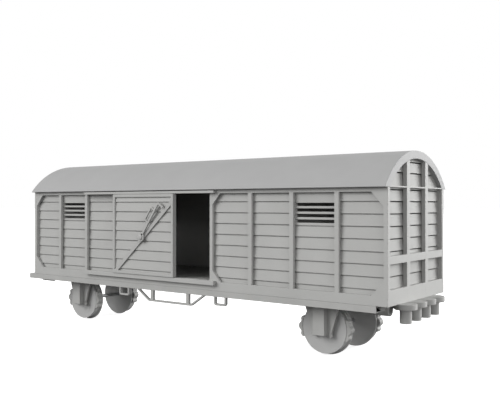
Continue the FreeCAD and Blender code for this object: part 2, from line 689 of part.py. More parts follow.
# ---------------------------------------------------------------- underframe
SILL_ENDS = (UNDERFRAME_X - SILL_LENGTH / 2, UNDERFRAME_X + SILL_LENGTH / 2)
FLANGE_EDGE = HALF_WIDTH - SILL_FLANGE
AXLES = {"left": UNDERFRAME_X - WHEELBASE / 2, "right": UNDERFRAME_X + WHEELBASE / 2}


def sill(word, side):
    """A channel along the car's edge, open towards the middle."""
    flange = 1.2
    points = [(HALF_WIDTH, SILL_LOW), (HALF_WIDTH, BODY_BASE), (FLANGE_EDGE, BODY_BASE),
              (FLANGE_EDGE, BODY_BASE - flange), (HALF_WIDTH - SILL_WEB, BODY_BASE - flange),
              (HALF_WIDTH - SILL_WEB, SILL_LOW + flange), (FLANGE_EDGE, SILL_LOW + flange),
              (FLANGE_EDGE, SILL_LOW)]
    channel = [(side * size(y), z) for y, z in points]
    keep(f"sill_{word}", plate(f"sill_body_{word}", "X", SILL_ENDS, [channel]))


def sleeve_start(end):
    """The lowest X of the buffer sleeves at one end."""
    return SILL_ENDS[1] - 15.5 if end > 0 else SILL_ENDS[0] - 1.85


def headstock(word, end):
    """The cross beam between the sills' ends, notched for the buffer sleeves."""
    xs = (SILL_ENDS[1] - 4, SILL_ENDS[1]) if end > 0 else (SILL_ENDS[0], SILL_ENDS[0] + 4)
    beam = box(f"headstock_blank_{word}", xs, (-FLANGE_EDGE, FLANGE_EDGE), (SILL_LOW, BODY_BASE))
    notches = [rod(f"notch_{word}_{side_word}", "X", (sleeve_start(end), side * SLEEVE_Y, SILL_LOW),
                   SLEEVE_RADIUS, SLEEVE_LENGTH) for side_word, side in SIDES.items()]
    keep(f"headstock_{word}", cut(f"headstock_cut_{word}", beam, *notches))


def buffer_sleeves():
    """Four short guide tubes at the car's ends, each with a blind bore that opens outwards."""
    tubes = []
    for word, end in ENDS.items():
        for side_word, side in SIDES.items():
            x = sleeve_start(end)
            tube = rod(f"sleeve_tube_{word}_{side_word}", "X", (x, side * SLEEVE_Y, SILL_LOW), SLEEVE_RADIUS,
                       SLEEVE_LENGTH)
            mouth = x + SLEEVE_LENGTH - 10 if end > 0 else x - 1
            bore = rod(f"sleeve_bore_{word}_{side_word}", "X", (mouth, side * SLEEVE_Y, SILL_LOW), 2.5, 11)
            tubes.append(cut(f"sleeve_{word}_{side_word}", tube, bore))
    keep("buffer_sleeves", group("buffer_sleeves_all", *tubes))


def peg_spigots(name):
    """The four spigots that locate the pegs in the end beam."""
    return [rod(f"{name}_{k + 1}", "Z", (HALF_LENGTH - 1.75, (k - 1.5) * PEG_PITCH, BODY_BASE), 1.2, 5)
            for k in range(4)]


def buffer_pegs():
    """Four mushroom pegs that hang head-up under the end beam."""
    spigots = peg_spigots("spigot")
    shoulder = BODY_BASE - PEG_HEAD_HEIGHT
    pegs = []
    for k in range(4):
        y = (k - 1.5) * PEG_PITCH
        head = rod(f"peg_head_{k + 1}", "Z", (PEG_X, y, shoulder), PEG_HEAD_RADIUS, PEG_HEAD_HEIGHT)
        stem = rod(f"peg_stem_{k + 1}", "Z", (PEG_X, y, PEG_FOOT), PEG_RADIUS, shoulder - PEG_FOOT)
        pegs.append(fuse(f"peg_{k + 1}", head, stem, spigots[k]))
    keep("buffer_pegs", group("buffer_pegs_all", *pegs))


def cross_members():
    """Beams across the car on both sides of each axle and at the middle."""
    places = [UNDERFRAME_X] + [x + turn * CROSS_OFFSET for x in AXLES.values() for turn in (-1, 1)]
    ys, zs = (-FLANGE_EDGE, FLANGE_EDGE), (BODY_BASE - 4, BODY_BASE)
    beams = [box(f"cross_beam_{k}", (x - 2.5, x + 2.5), ys, zs) for k, x in enumerate(places)]
    keep("cross_members", group("cross_members_all", *beams))


def rod_band(side):
    """The Y span of the bars under a sill."""
    return band(side, HALF_WIDTH - ROD_SET_IN - ROD_DEPTH, HALF_WIDTH - ROD_SET_IN)


def truss(word, side):
    """A bent rod under the sill with two queen posts."""
    low = SILL_LOW - ROD_DROP
    x = UNDERFRAME_X
    top, foot = TRUSS_REACH - 2.7, TRUSS_FLAT - 1.1
    loop = [(x - TRUSS_REACH, SILL_LOW), (x - TRUSS_FLAT, low), (x + TRUSS_FLAT, low),
            (x + TRUSS_REACH, SILL_LOW), (x + top, SILL_LOW), (x + foot, low + ROD_BAR),
            (x - foot, low + ROD_BAR), (x - top, SILL_LOW)]
    bar = plate(f"truss_rod_{word}", "Y", rod_band(side), [loop])
    posts = []
    for k in (-1, 1):
        middle = x + k * QUEEN_POST
        xs = (middle - QUEEN_WIDTH / 2, middle + QUEEN_WIDTH / 2)
        posts.append(box(f"queen_post_{word}_{k}", xs, rod_band(side), (low + ROD_BAR, SILL_LOW)))
    keep(f"truss_{word}", group(f"truss_all_{word}", bar, *posts))


def steps():
    """Four stirrup steps bent from flat bar under the sills."""
    bar = ROD_BAR
    low = SILL_LOW - STEP_DROP
    stirrups = []
    for side_word, side in SIDES.items():
        for k in (-1, 1):
            inner, outer = UNDERFRAME_X + k * STEP_INNER, UNDERFRAME_X + k * STEP_OUTER
            thick = k * bar
            loop = [(inner, SILL_LOW), (inner, low + bar), (inner + thick, low), (outer - thick, low),
                    (outer, low + bar), (outer, SILL_LOW), (outer - thick, SILL_LOW),
                    (outer - thick, low + bar), (inner + thick, low + bar), (inner + thick, SILL_LOW)]
            end_word = "left" if k < 0 else "right"
            stirrups.append(plate(f"stirrup_{side_word}_{end_word}", "Y", rod_band(side), [loop]))
    keep("stirrup_steps", group("stirrup_steps_all", *stirrups))


# ---------------------------------------------------------------- wheelsets and their guards
def axle_guard(name, side, x):
    """A tapered plate with a rounded lobe at each lower corner, hung from the base plate."""
    foot = AXLE_HEIGHT - 5
    top, low = GUARD_HALF_TOP, GUARD_HALF_FOOT
    loop = [(x - low, foot), (x + low, foot), (x + top, SILL_LOW), (x + top, BODY_BASE),
            (x - top, BODY_BASE), (x - top, SILL_LOW)]
    ys = band(side, GUARD_Y, GUARD_FACE)
    blank = plate(f"guard_blank_{name}", "Y", ys, [loop])
    lobes = [rod(f"guard_lobe_{name}_{k}", "Y", (x + k * (low - 0.3), ys[0], foot + 0.6), GUARD_LOBE,
                 GUARD_THICKNESS) for k in (-1, 1)]
    hole = rod(f"guard_hole_{name}", "Y", (x, size(ys[0]) - 1, AXLE_HEIGHT), 2.1, GUARD_THICKNESS + 2)
    keep(f"axle_guard_{name}", cut(f"guard_cut_{name}", fuse(f"guard_joined_{name}", blank, *lobes), hole))


def axlebox(name, side, x):
    """The box on the guard that holds the bush, with its spring column up to the base plate."""
    ys = band(side, GUARD_FACE, AXLEBOX_FACE)
    blank = box(f"axlebox_blank_{name}", (x - AXLEBOX_WIDTH / 2, x + AXLEBOX_WIDTH / 2), ys,
                (AXLE_HEIGHT - 4.5, BODY_BASE))
    start = ys[0] if side > 0 else size(ys[1]) - 3.5
    bore = rod(f"axlebox_bore_{name}", "Y", (x, start, AXLE_HEIGHT), BUSH_RADIUS, 3.5)
    keep(f"axlebox_{name}", cut(f"axlebox_cut_{name}", blank, bore))
    ring = rod(f"bush_ring_{name}", "Y", (x, start, AXLE_HEIGHT), BUSH_RADIUS, 3.5)
    eye_spot = (x, size(start) - 1, AXLE_HEIGHT)
    eye = rod(f"bush_eye_{name}", "Y", eye_spot, JOURNAL_RADIUS + BUSH_CLEARANCE, 5.5)
    return cut(f"bush_{name}", ring, eye)


def wheel(name, side, x):
    """A solid disc wheel: coned tread, flange on the inner face, hub bored for the axle."""
    back, face = WHEEL_BACK, WHEEL_FACE
    profile = [(back, AXLE_RADIUS), (face, AXLE_RADIUS), (face, TREAD_RADIUS - 0.6),
               (face - 0.6, TREAD_RADIUS), (back + 2.6, TREAD_RADIUS), (back + 1.7, TREAD_RADIUS + 0.5),
               (back + 1.2, FLANGE_RADIUS), (back + 0.4, FLANGE_RADIUS), (back, FLANGE_RADIUS - 0.5)]
    keep(f"wheel_{name}", turned(f"wheel_turned_{name}", x, [(side * size(y), r) for y, r in profile]))


def axle(word, x):
    """The axle with a thinner journal at each end."""
    shoulder = WHEEL_FACE + 0.5
    end = GUARD_FACE + 3.1
    profile = [(-end, 0), (end, 0), (end, JOURNAL_RADIUS), (shoulder, JOURNAL_RADIUS),
               (shoulder, AXLE_RADIUS), (-shoulder, AXLE_RADIUS), (-shoulder, JOURNAL_RADIUS),
               (-end, JOURNAL_RADIUS)]
    keep(f"axle_{word}", turned(f"axle_turned_{word}", x, profile))


# bearing of each round from the axle in degrees, its distance and its radius
SHOE_ROUNDS = ((-17, 20.9, 2.6), (-8.5, 20.9, 2), (0, 21.2, 3.6), (8.5, 20.9, 2), (17, 20.9, 2.6))


def round_spot(x, toward, start_y, angle, reach):
    """Where one round of a brake shoe begins, on the side of the axle given by toward."""
    bearing = math.radians(angle)
    return (x + toward * reach * math.cos(bearing), start_y, AXLE_HEIGHT + reach * math.sin(bearing))


def brake_shoe(name, side, x, toward):
    """A shoe with a three-lobed back, a running gap away from the tread."""
    ys = band(side, WHEEL_BACK + 2.4, WHEEL_FACE)
    width = size(ys[1]) - ys[0]
    lobes = []
    for k, (angle, reach, radius) in enumerate(SHOE_ROUNDS):
        spot = round_spot(x, toward, ys[0], angle, reach)
        lobes.append(rod(f"shoe_lobe_{name}_{k}", "Y", spot, radius, width))
    clear_spot = (x, size(ys[0]) - 1, AXLE_HEIGHT)
    clear = rod(f"shoe_clear_{name}", "Y", clear_spot, TREAD_RADIUS + RUN_GAP, width + 2)
    return cut(f"shoe_{name}", fuse(f"shoe_lobes_{name}", *lobes), clear)


def brake_hanger(name, side, x, toward):
    """A thin arm that rises from the top of its shoe, round the wheel and up to the floor plate."""
    ys = band(side, HANGER_Y, HANGER_Y + HANGER_WIDTH)
    width = size(ys[1]) - ys[0]
    start_y = size(ys[0]) - 1
    inner = TREAD_RADIUS + RUN_GAP
    outer = inner + HANGER_THICKNESS
    disc = rod(f"hanger_outer_{name}", "Y", (x, ys[0], AXLE_HEIGHT), outer, width)
    hollow = rod(f"hanger_inner_{name}", "Y", (x, start_y, AXLE_HEIGHT), inner, width + 2)
    ring = cut(f"hanger_ring_{name}", disc, hollow)
    angle, reach, radius = SHOE_ROUNDS[-1]
    top_round = round_spot(x, toward, start_y, angle, reach)
    foot, head = x + toward * HANGER_INSIDE, x + toward * (outer + 1)
    span = (foot, head) if toward > 0 else (head, foot)
    arc = common(f"hanger_arc_{name}", ring,
                 box(f"hanger_window_{name}", span, ys, (top_round[2], AXLE_HEIGHT + outer)))
    side_x = x + toward * (HANGER_INSIDE + HANGER_POST)
    span = (foot, side_x) if toward > 0 else (side_x, foot)
    post = box(f"hanger_post_{name}", span, ys, (AXLE_HEIGHT + HANGER_FOOT, BODY_BASE))
    return cut(f"hanger_{name}", fuse(f"hanger_arm_{name}", arc, post),
               rod(f"hanger_socket_{name}", "Y", top_round, radius, width + 2))


def running_gear():
    """Guards, boxes, bushes, wheelsets and brake shoes of both axles."""
    bushes, shoes, hangers = [], [], []
    for word, x in AXLES.items():
        axle(word, x)
        for side_word, side in SIDES.items():
            name = f"{side_word}_{word}"
            axle_guard(name, side, x)
            bushes.append(axlebox(name, side, x))
            wheel(name, side, x)
            for toward_word, toward in (("a", -1), ("b", 1)):
                shoes.append(brake_shoe(name + toward_word, side, x, toward))
                hangers.append(brake_hanger(name + toward_word, side, x, toward))
    keep("axle_bushes", group("axle_bushes_all", *bushes))
    keep("brake_shoes", group("brake_shoes_all", *shoes))
    keep("brake_hangers", group("brake_hangers_all", *hangers))


# ---------------------------------------------------------------- assembly
for side_word, side in SIDES.items():
    side_frame(side_word, side)
    for end_word, end in ENDS.items():
        side_boards(side_word, side, end_word, end)
        louvre(side_word, side, end_word, end)
    door_rails(side_word, side)
    door(side_word, side)
    latch(side_word, side)
    sill(side_word, side)
    truss(side_word, side)
for end_word, end in ENDS.items():
    end_frame(end_word, end)
    end_boards(end_word, end)
    headstock(end_word, end)
roof()
floor()
buffer_sleeves()
buffer_pegs()
cross_members()
steps()
running_gear()

doc.recompute()
faults = [obj.Name for obj in doc.Objects if "Invalid" in obj.State or "Error" in obj.State]
if faults:
    raise RuntimeError(f"objects that failed: {faults}")
for name, obj in nodes.items():
    if obj.Shape.isNull() or not obj.Shape.isValid() or not obj.Shape.Solids:
        raise RuntimeError(f"{name} has no valid solid")
for name, obj in sorted(nodes.items()):
    obj.Shape.exportStep(f"parts/{name}.step")
print(len(nodes), "nodes written")
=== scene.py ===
# %% [markdown]
# # A model box car, finished in Blender
# The car comes from CAD as a set of fixed parts that already have their true size and place. This lesson
# gives them their looks: moulded plastic with softened edges, lapped boards with rounded lips, turned
# wheels and pegs, and a quiet studio to see them in. Every cell adds one piece or one finish.
#
# We begin by loading the fixed parts. Their box is kept, because the finished model has to stay inside it.

# %% Load the fixed parts
import math

import bpy
import numpy as np
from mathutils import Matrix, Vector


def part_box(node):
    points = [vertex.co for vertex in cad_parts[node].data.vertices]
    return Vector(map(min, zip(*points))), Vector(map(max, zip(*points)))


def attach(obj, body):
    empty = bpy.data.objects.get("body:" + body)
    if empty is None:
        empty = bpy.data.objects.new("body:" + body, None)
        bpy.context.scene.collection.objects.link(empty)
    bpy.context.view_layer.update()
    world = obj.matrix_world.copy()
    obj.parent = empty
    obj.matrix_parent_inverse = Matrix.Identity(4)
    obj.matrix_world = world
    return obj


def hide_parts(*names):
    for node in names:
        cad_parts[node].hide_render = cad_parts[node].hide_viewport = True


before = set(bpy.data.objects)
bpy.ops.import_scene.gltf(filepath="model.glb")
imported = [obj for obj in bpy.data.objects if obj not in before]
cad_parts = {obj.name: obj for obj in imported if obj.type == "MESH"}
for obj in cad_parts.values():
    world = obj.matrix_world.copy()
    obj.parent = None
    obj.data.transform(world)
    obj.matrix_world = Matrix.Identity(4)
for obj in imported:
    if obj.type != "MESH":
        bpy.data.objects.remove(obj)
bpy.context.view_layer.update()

MM = 0.001
SIDES = {"near": -1, "far": 1}
ENDS = {"left": -1, "right": 1}

# %% [markdown]
# ## The camera
# A product view of a railway model is taken from a little above the rails, near one end, so that the side
# and the end wall are both seen. A 50 mm lens on a 36 mm sensor gives the mild perspective of someone who
# leans towards a shelf. The camera is placed by its distance from the car and by the way that it looks.

# %% Camera
CAMERA_SPOT = (0.43361, -0.52258, 0.12444)
CAMERA_TURN = 36.76
CAMERA_LIFT = 0.32


def add_object(name, data):
    """Put a new object into the scene."""
    made = bpy.data.objects.new(name, data)
    bpy.context.scene.collection.objects.link(made)
    return made


lens = bpy.data.cameras.new("view_lens")
lens.lens = 50
lens.sensor_width = 36
camera = add_object("view_camera", lens)
camera.location = CAMERA_SPOT
camera.rotation_euler = (math.radians(90 + CAMERA_LIFT), 0, math.radians(CAMERA_TURN))
bpy.context.scene.camera = camera
bpy.context.scene.view_settings.view_transform = "Standard"
print("camera looks", CAMERA_TURN, "degrees round from the car's long side")

# %% [markdown]
# ## The studio
# A plain pale floor and soft light show form best. The floor is one big sheet that glows a little, so that
# it reads as white paper without lighting the car from below. Two large soft lamps stand to the left
# front and to the right rear, and the corner between them, where the viewer stands, only gets a weak
# third one: the sides of posts and rails that face it stay darker than the fronts, and show the relief.

# %% Studio
FLOOR_SIZE = 30.0
PAPER_GLOW = 0.75
PAPER_GREY = 0.8
MATT_GREY = 0.15
SKY_LIGHT = 0.6


def new_material(name):
    """A material with its nodes, its links and its Principled shader."""
    made = bpy.data.materials.new(name)
    made.use_nodes = True
    nodes = made.node_tree.nodes
    return made, nodes, made.node_tree.links, nodes["Principled BSDF"]


def seen_or_lighting(nodes, links, seen, lighting, surface):
    """Mix two shaders: what the eye sees directly, and what lights the rest of the scene."""
    path = nodes.new("ShaderNodeLightPath")
    mix = nodes.new("ShaderNodeMixShader")
    links.new(path.outputs["Is Camera Ray"], mix.inputs[0])
    links.new(lighting.outputs[0], mix.inputs[1])
    links.new(seen.outputs[0], mix.inputs[2])
    links.new(mix.outputs[0], surface)


def studio_sky():
    """White paper to the eye, and an even dim light for the car."""
    world = bpy.data.worlds.new("studio_sky")
    bpy.context.scene.world = world
    world.use_nodes = True
    nodes, links = world.node_tree.nodes, world.node_tree.links
    nodes.clear()
    out = nodes.new("ShaderNodeOutputWorld")
    seen = nodes.new("ShaderNodeBackground")
    seen.inputs["Color"].default_value = (1, 1, 1, 1)
    lighting = nodes.new("ShaderNodeBackground")
    lighting.inputs["Color"].default_value = (1, 1, 1, 1)
    lighting.inputs["Strength"].default_value = SKY_LIGHT
    seen_or_lighting(nodes, links, seen, lighting, out.inputs["Surface"])


def studio_floor():
    """A square sheet under the wheels, white to the eye but for soft shadows."""
    half = FLOOR_SIZE / 2
    mesh = bpy.data.meshes.new("paper_floor")
    corners = [(-half, -half, 0), (half, -half, 0), (half, half, 0), (-half, half, 0)]
    mesh.from_pydata(corners, [], [(0, 1, 2, 3)])
    add_object("paper_floor", mesh)
    paper, nodes, links, matt = new_material("white_paper")
    bright = nodes.new("ShaderNodeBsdfPrincipled")
    for shader, grey in ((matt, MATT_GREY), (bright, PAPER_GREY)):
        shader.inputs["Base Color"].default_value = (grey, grey, grey, 1)
        shader.inputs["Roughness"].default_value = 0.9
        shader.inputs["Specular IOR Level"].default_value = 0
    bright.inputs["Emission Color"].default_value = (1, 1, 1, 1)
    bright.inputs["Emission Strength"].default_value = PAPER_GLOW
    seen_or_lighting(nodes, links, bright, matt, nodes["Material Output"].inputs["Surface"])
    mesh.materials.append(paper)


def lamp(name, power, width, bearing, lift, distance):
    """A square soft lamp that faces the car, placed by its compass bearing and its height angle."""
    turn, rise = math.radians(bearing), math.radians(lift)
    away = np.array([math.cos(turn) * math.cos(rise), math.sin(turn) * math.cos(rise), math.sin(rise)])
    middle = np.array([0, 0, 0.1])
    light = bpy.data.lights.new(name, "AREA")
    light.energy = power
    light.size = width
    lamp_object = add_object(name, light)
    lamp_object.location = middle + away * distance
    lamp_object.rotation_euler = (math.pi / 2 - rise, 0, turn + math.pi / 2)


studio_sky()
studio_floor()
lamp("lamp_front_left", power=290, width=3.6, bearing=-126, lift=25, distance=6.0)
lamp("lamp_rear_right", power=460, width=3.6, bearing=55, lift=14, distance=6.0)
lamp("lamp_right_fill", power=110, width=3.0, bearing=-25, lift=3, distance=6.0)
print("studio: white paper, dim sky and", len(bpy.data.lights), "soft lamps")

# %% [markdown]
# ## Moulded plastic
# The body of such a model is injection moulded in one grey plastic and left unpainted. Close up it is
# never flat: the colour drifts slightly where the melt cooled at different speeds, the mould leaves a
# very fine grain, and fingers polish it a little. Noise on Object coordinates gives all three. It has no
# seams, as a painted skin would, and it sticks to the piece when the piece moves. Three greys differ for
# light rather than for the plastic: the roof and the end boards are darker, as painted shade, and the
# wheels are lighter, as painted light.


# %% Plastic
def texture_space(nodes, links, stretch):
    """Object coordinates, squeezed by one factor for each axis."""
    place = nodes.new("ShaderNodeTexCoord")
    mapping = nodes.new("ShaderNodeMapping")
    mapping.inputs["Scale"].default_value = stretch
    links.new(place.outputs["Object"], mapping.inputs["Vector"])
    return mapping.outputs["Vector"]


def noise(nodes, links, space, scale, detail):
    """Smooth noise whose lumps are about 1 / scale metres across."""
    texture = nodes.new("ShaderNodeTexNoise")
    texture.inputs["Scale"].default_value = scale
    texture.inputs["Detail"].default_value = detail
    links.new(space, texture.inputs["Vector"])
    return texture.outputs["Fac"]


def spread(nodes, links, value, low, high):
    """Stretch the middle half of a noise to the range from low to high."""
    ranged = nodes.new("ShaderNodeMapRange")
    ranged.inputs["From Min"].default_value = 0.3
    ranged.inputs["From Max"].default_value = 0.7
    ranged.inputs["To Min"].default_value = low
    ranged.inputs["To Max"].default_value = high
    links.new(value, ranged.inputs["Value"])
    return ranged.outputs["Result"]


def tinted(nodes, links, value, dark, light):
    """A colour that runs between two tones as the value goes from 0.3 to 0.7."""
    ramp = nodes.new("ShaderNodeValToRGB")
    ramp.color_ramp.elements[0].position = 0.3
    ramp.color_ramp.elements[0].color = (*dark, 1)
    ramp.color_ramp.elements[1].position = 0.7
    ramp.color_ramp.elements[1].color = (*light, 1)
    links.new(value, ramp.inputs["Fac"])
    return ramp.outputs["Color"]


def relief(nodes, links, height, depth, strength, under=None):
    """Bump of a given depth in metres, on top of another bump if there is one."""
    bump = nodes.new("ShaderNodeBump")
    bump.inputs["Strength"].default_value = strength
    bump.inputs["Distance"].default_value = depth
    links.new(height, bump.inputs["Height"])
    if under is not None:
        links.new(under, bump.inputs["Normal"])
    return bump.outputs["Normal"]


def plastic(name, tone, drift=0.03, sheen_low=0.5, sheen_high=0.62, flow=(1, 1, 1), flow_depth=0.00002):
    """Unpainted plastic: a drifting tone, a fine mould grain, and faint flow lines along one axis."""
    made, nodes, links, shader = new_material(name)
    shader.inputs["IOR"].default_value = 1.46
    shader.inputs["Specular IOR Level"].default_value = 0.25
    even = texture_space(nodes, links, (1, 1, 1))
    drawn = texture_space(nodes, links, flow)
    patches = noise(nodes, links, even, 45, 4)
    grain = noise(nodes, links, even, 2600, 2)
    lines = noise(nodes, links, drawn, 420, 3)
    dark = tuple(c * (1 - drift) for c in tone)
    light = tuple(c * (1 + drift) for c in tone)
    links.new(tinted(nodes, links, patches, dark, light), shader.inputs["Base Color"])
    links.new(spread(nodes, links, grain, sheen_low, sheen_high), shader.inputs["Roughness"])
    soft = relief(nodes, links, lines, flow_depth, 0.5)
    links.new(relief(nodes, links, grain, 0.00001, 0.4, soft), shader.inputs["Normal"])
    return made


BODY_TONE = (0.40, 0.40, 0.39)
# The roof's grey is darker than the body's: painted shade, which holds down the light on its top.
ROOF_TONE_PAINTED_SHADE = (0.345, 0.345, 0.345)
BOARD_TONE = (0.395, 0.395, 0.385)
# The end boards' grey is darker than the side boards': painted shade for the recesses between the end
# posts.
END_BOARD_TONE_PAINTED_SHADE = (0.34, 0.34, 0.33)
DOOR_TONE = (0.40, 0.40, 0.39)
FRAME_TONE = (0.38, 0.38, 0.37)
# The wheels' grey is lighter than the body's: painted light, against the shade under the body.
WHEEL_TONE_PAINTED_LIGHT = (0.42, 0.42, 0.415)
DECK_TONE = (0.30, 0.30, 0.29)
body_plastic = plastic("grey_body_plastic", BODY_TONE)
board_plastic = plastic("grey_board_plastic", BOARD_TONE, flow=(0.04, 1, 1))
end_board_plastic_painted_shade = plastic("grey_end_board_plastic_painted_shade", END_BOARD_TONE_PAINTED_SHADE, flow=(1, 0.04, 1))
roof_plastic_painted_shade = plastic("grey_roof_plastic_painted_shade", ROOF_TONE_PAINTED_SHADE, drift=0.02, flow=(0.03, 1, 1))
door_plastic = plastic("grey_door_plastic", DOOR_TONE, flow=(0.04, 1, 1))
underframe_plastic = plastic("grey_underframe_plastic", FRAME_TONE, drift=0.04)
wheel_plastic_painted_light = plastic("grey_wheel_plastic_painted_light", WHEEL_TONE_PAINTED_LIGHT, drift=0.035, sheen_low=0.42, sheen_high=0.55)
deck_plastic = plastic("grey_deck_plastic", DECK_TONE, drift=0.06, flow=(1, 0.05, 1), flow_depth=0.0001)
print("plastics:", [m.name for m in bpy.data.materials if "plastic" in m.name])

# %% [markdown]
# ## Steel and brass
# Axles and screws are drawn steel that has gone dull, and the bushes are brass. Turning leaves fine rings
# across a shaft, so the noise is squeezed along the shaft's own axis: narrow along it, wide round it. The
# rivets of the latches are painted together with their doors, so they share the plastic's recipe.


# %% Metals
def metal(name, dark, light, rough_low, rough_high, across):
    """Turned metal: rings across the shaft in the bump, and stains in the colour and the roughness."""
    made, nodes, links, shader = new_material(name)
    shader.inputs["Metallic"].default_value = 1
    even = texture_space(nodes, links, (1, 1, 1))
    stains = noise(nodes, links, even, 260, 4)
    rings = noise(nodes, links, texture_space(nodes, links, across), 900, 2)
    links.new(tinted(nodes, links, stains, dark, light), shader.inputs["Base Color"])
    links.new(spread(nodes, links, stains, rough_low, rough_high), shader.inputs["Roughness"])
    links.new(relief(nodes, links, rings, 0.00001, 0.5), shader.inputs["Normal"])
    return made


axle_steel = metal("drawn_axle_steel", (0.44, 0.44, 0.45), (0.56, 0.56, 0.57), 0.45, 0.6, (0.2, 4, 0.2))
pin_steel = metal("dull_pin_steel", (0.40, 0.40, 0.40), (0.48, 0.48, 0.48), 0.38, 0.5, (1, 1, 1))
painted_steel = plastic("grey_painted_steel", DOOR_TONE, drift=0.05, sheen_low=0.4, sheen_high=0.5)
ballast_steel = metal("rolled_ballast_steel", (0.24, 0.24, 0.25), (0.36, 0.36, 0.37), 0.4, 0.6,
                      (0.1, 2, 1))
bush_brass = metal("turned_bush_brass", (0.60, 0.42, 0.17), (0.74, 0.54, 0.25), 0.25, 0.4, (0.2, 4, 0.2))
print("metals:", [axle_steel.name, pin_steel.name, ballast_steel.name, bush_brass.name])

# %% [markdown]
# ## Softened edges on the fixed parts
# No moulded edge is sharp. The rails and brackets already have the right shape, so they stay as they are
# and only get modifiers: Weld closes the loose triangles, a planar Decimate joins flat neighbours into
# single faces, Bevel rolls the edges, and Weighted Normal keeps the flats looking flat. This suits plain
# blocks. Frames with many openings are made again further on, because joined flats cannot have holes.


# %% Soften a fixed part
def face_normals(piece):
    """Let big flat faces decide the shading, so that only the rolled edges look round."""
    weighted = piece.modifiers.new("flat_faces", "WEIGHTED_NORMAL")
    weighted.keep_sharp = True
    weighted.weight = 100


def soften(node, finish, roll):
    """Roll the edges of a fixed part by a radius in millimetres and give it a finish."""
    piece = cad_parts[node]
    weld = piece.modifiers.new("close_seams", "WELD")
    weld.merge_threshold = 0.002 * MM
    flat = piece.modifiers.new("join_flats", "DECIMATE")
    flat.decimate_type = "DISSOLVE"
    flat.angle_limit = math.radians(1)
    bevel = piece.modifiers.new("rolled_edges", "BEVEL")
    bevel.width = roll * MM
    bevel.segments = 2
    bevel.limit_method = "ANGLE"
    bevel.angle_limit = math.radians(32)
    face_normals(piece)
    piece.data.materials.clear()
    piece.data.materials.append(finish)


NODE_ROLL = 0.2
BRACE_ROLL = 0.08
SOFTENED = {
    body_plastic: ["door_rails_near", "door_rails_far"],
    door_plastic: ["door_brace_near", "door_brace_far"],
    underframe_plastic: ["base_plate", "cross_members", "brake_hangers",
                         *[f"headstock_{end_word}" for end_word in ENDS],
                         *[f"{word}_{side_word}_{end_word}" for word in ("axle_guard", "axlebox")
                           for side_word in SIDES for end_word in ENDS]],
    ballast_steel: ["ballast_weight"],
}
for finish, names in SOFTENED.items():
    for name in names:
        soften(name, finish, BRACE_ROLL if name.startswith("door_brace") else NODE_ROLL)
print("softened parts:", sum(len(names) for names in SOFTENED.values()))

# %% [markdown]
# ## Tools for new pieces
# The other pieces are made again as closed skins. An outline or a formula gives a grid of points, and
# neighbouring grid points become quads. Everything is worked out on whole arrays: a row of the grid is
# one step of the first parameter, a column one step of the second. Where a grid closes on an axis or a
# peak, the points that fall together are welded, and at the end the sign of the enclosed volume tells
# whether the faces point outwards.


# %% Skins from grids
SHARP_ANGLE = math.radians(50)


def welded(points, quads):
    """Merge points that coincide, and turn quads that lost a corner into triangles.

    Points count as one when they agree to a hundredth of a micrometre. A quad whose corner repeats its
    neighbour keeps its three other corners, and one with fewer than three different corners is dropped.
    """
    _, first, where = np.unique(np.round(points, 8), axis=0, return_index=True, return_inverse=True)
    quads = where.reshape(-1)[quads]
    repeats = quads == np.roll(quads, 1, axis=1)
    lost = repeats.sum(1)
    triangles = quads[lost == 1][~repeats[lost == 1]].reshape(-1, 3)
    return points[first], [quads[lost == 0], triangles]


def outward(points, groups):
    """Turn all faces round if the volume that they enclose comes out negative.

    The volume is the sum over all triangles of a . (b x c) / 6.
    """
    corners = [np.stack([g[:, np.zeros(g.shape[1] - 2, int)], g[:, 1:-1], g[:, 2:]], -1) for g in groups]
    a, b, c = points[np.concatenate([t.reshape(-1, 3) for t in corners])].transpose(1, 0, 2)
    if np.sum(a * np.cross(b, c)) < 0:
        groups = [g[:, ::-1] for g in groups]
    return points, groups


def tube(rings, ends):
    """A closed skin from rings of points: the first index runs along the tube, the second round it.

    ends says how the two mouths are shut: "flat" with one face each, "strip" with quads from the first
    half of the ring to the second, and "loop" joins the last ring to the first. "none" leaves them as
    they are, for rings that shrink to a point.
    """
    count, around = rings.shape[:2]
    steps = np.arange(count if ends == "loop" else count - 1)
    i, j = np.meshgrid(steps, np.arange(around), indexing="ij")
    i2, j2 = (i + 1) % count, (j + 1) % around
    quads = np.stack([i * around + j, i2 * around + j, i2 * around + j2, i * around + j2], -1)
    quads = quads.reshape(-1, 4)
    caps = []
    last = (count - 1) * around
    if ends == "flat":
        caps = [np.arange(around)[None], last + np.arange(around)[None, ::-1]]
    if ends == "strip":
        k = np.arange(around // 2 - 1)
        strip = np.stack([k, k + 1, around - 2 - k, around - 1 - k], -1)
        quads = np.concatenate([quads, strip, last + strip[:, ::-1]])
    points = rings.reshape(-1, 3)
    if ends == "flat":
        return outward(points, [quads, *caps])
    return outward(*welded(points, quads))


def make_piece(name, solids, finish, node, body="car_body"):
    """One finished piece from a list of skins. It rides on a body and stands for one fixed part."""
    starts = np.cumsum([0] + [len(points) for points, _ in solids])
    faces = []
    for (_, groups), start in zip(solids, starts):
        for group in groups:
            faces += (group + start).tolist()
    mesh = bpy.data.meshes.new(name)
    mesh.from_pydata(np.concatenate([points for points, _ in solids]).tolist(), [], faces)
    mesh.polygons.foreach_set("use_smooth", np.ones(len(mesh.polygons), bool))
    mesh.set_sharp_from_angle(angle=SHARP_ANGLE)
    mesh.materials.append(finish)
    piece = add_object(name, mesh)
    face_normals(piece)
    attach(piece, body)
    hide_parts(node)
    print(f"{name}: {len(solids)} skins, {len(faces)} faces")


# %% [markdown]
# ## Outlines, bars, straps and turned parts
# Most pieces are one of three kinds. A bar carries a flat outline in a straight line. A strap carries a
# small section along a bent path. A turned part spins a half outline round an axis. Their corners are
# rounded by formula, so that each edge catches a thin line of light.


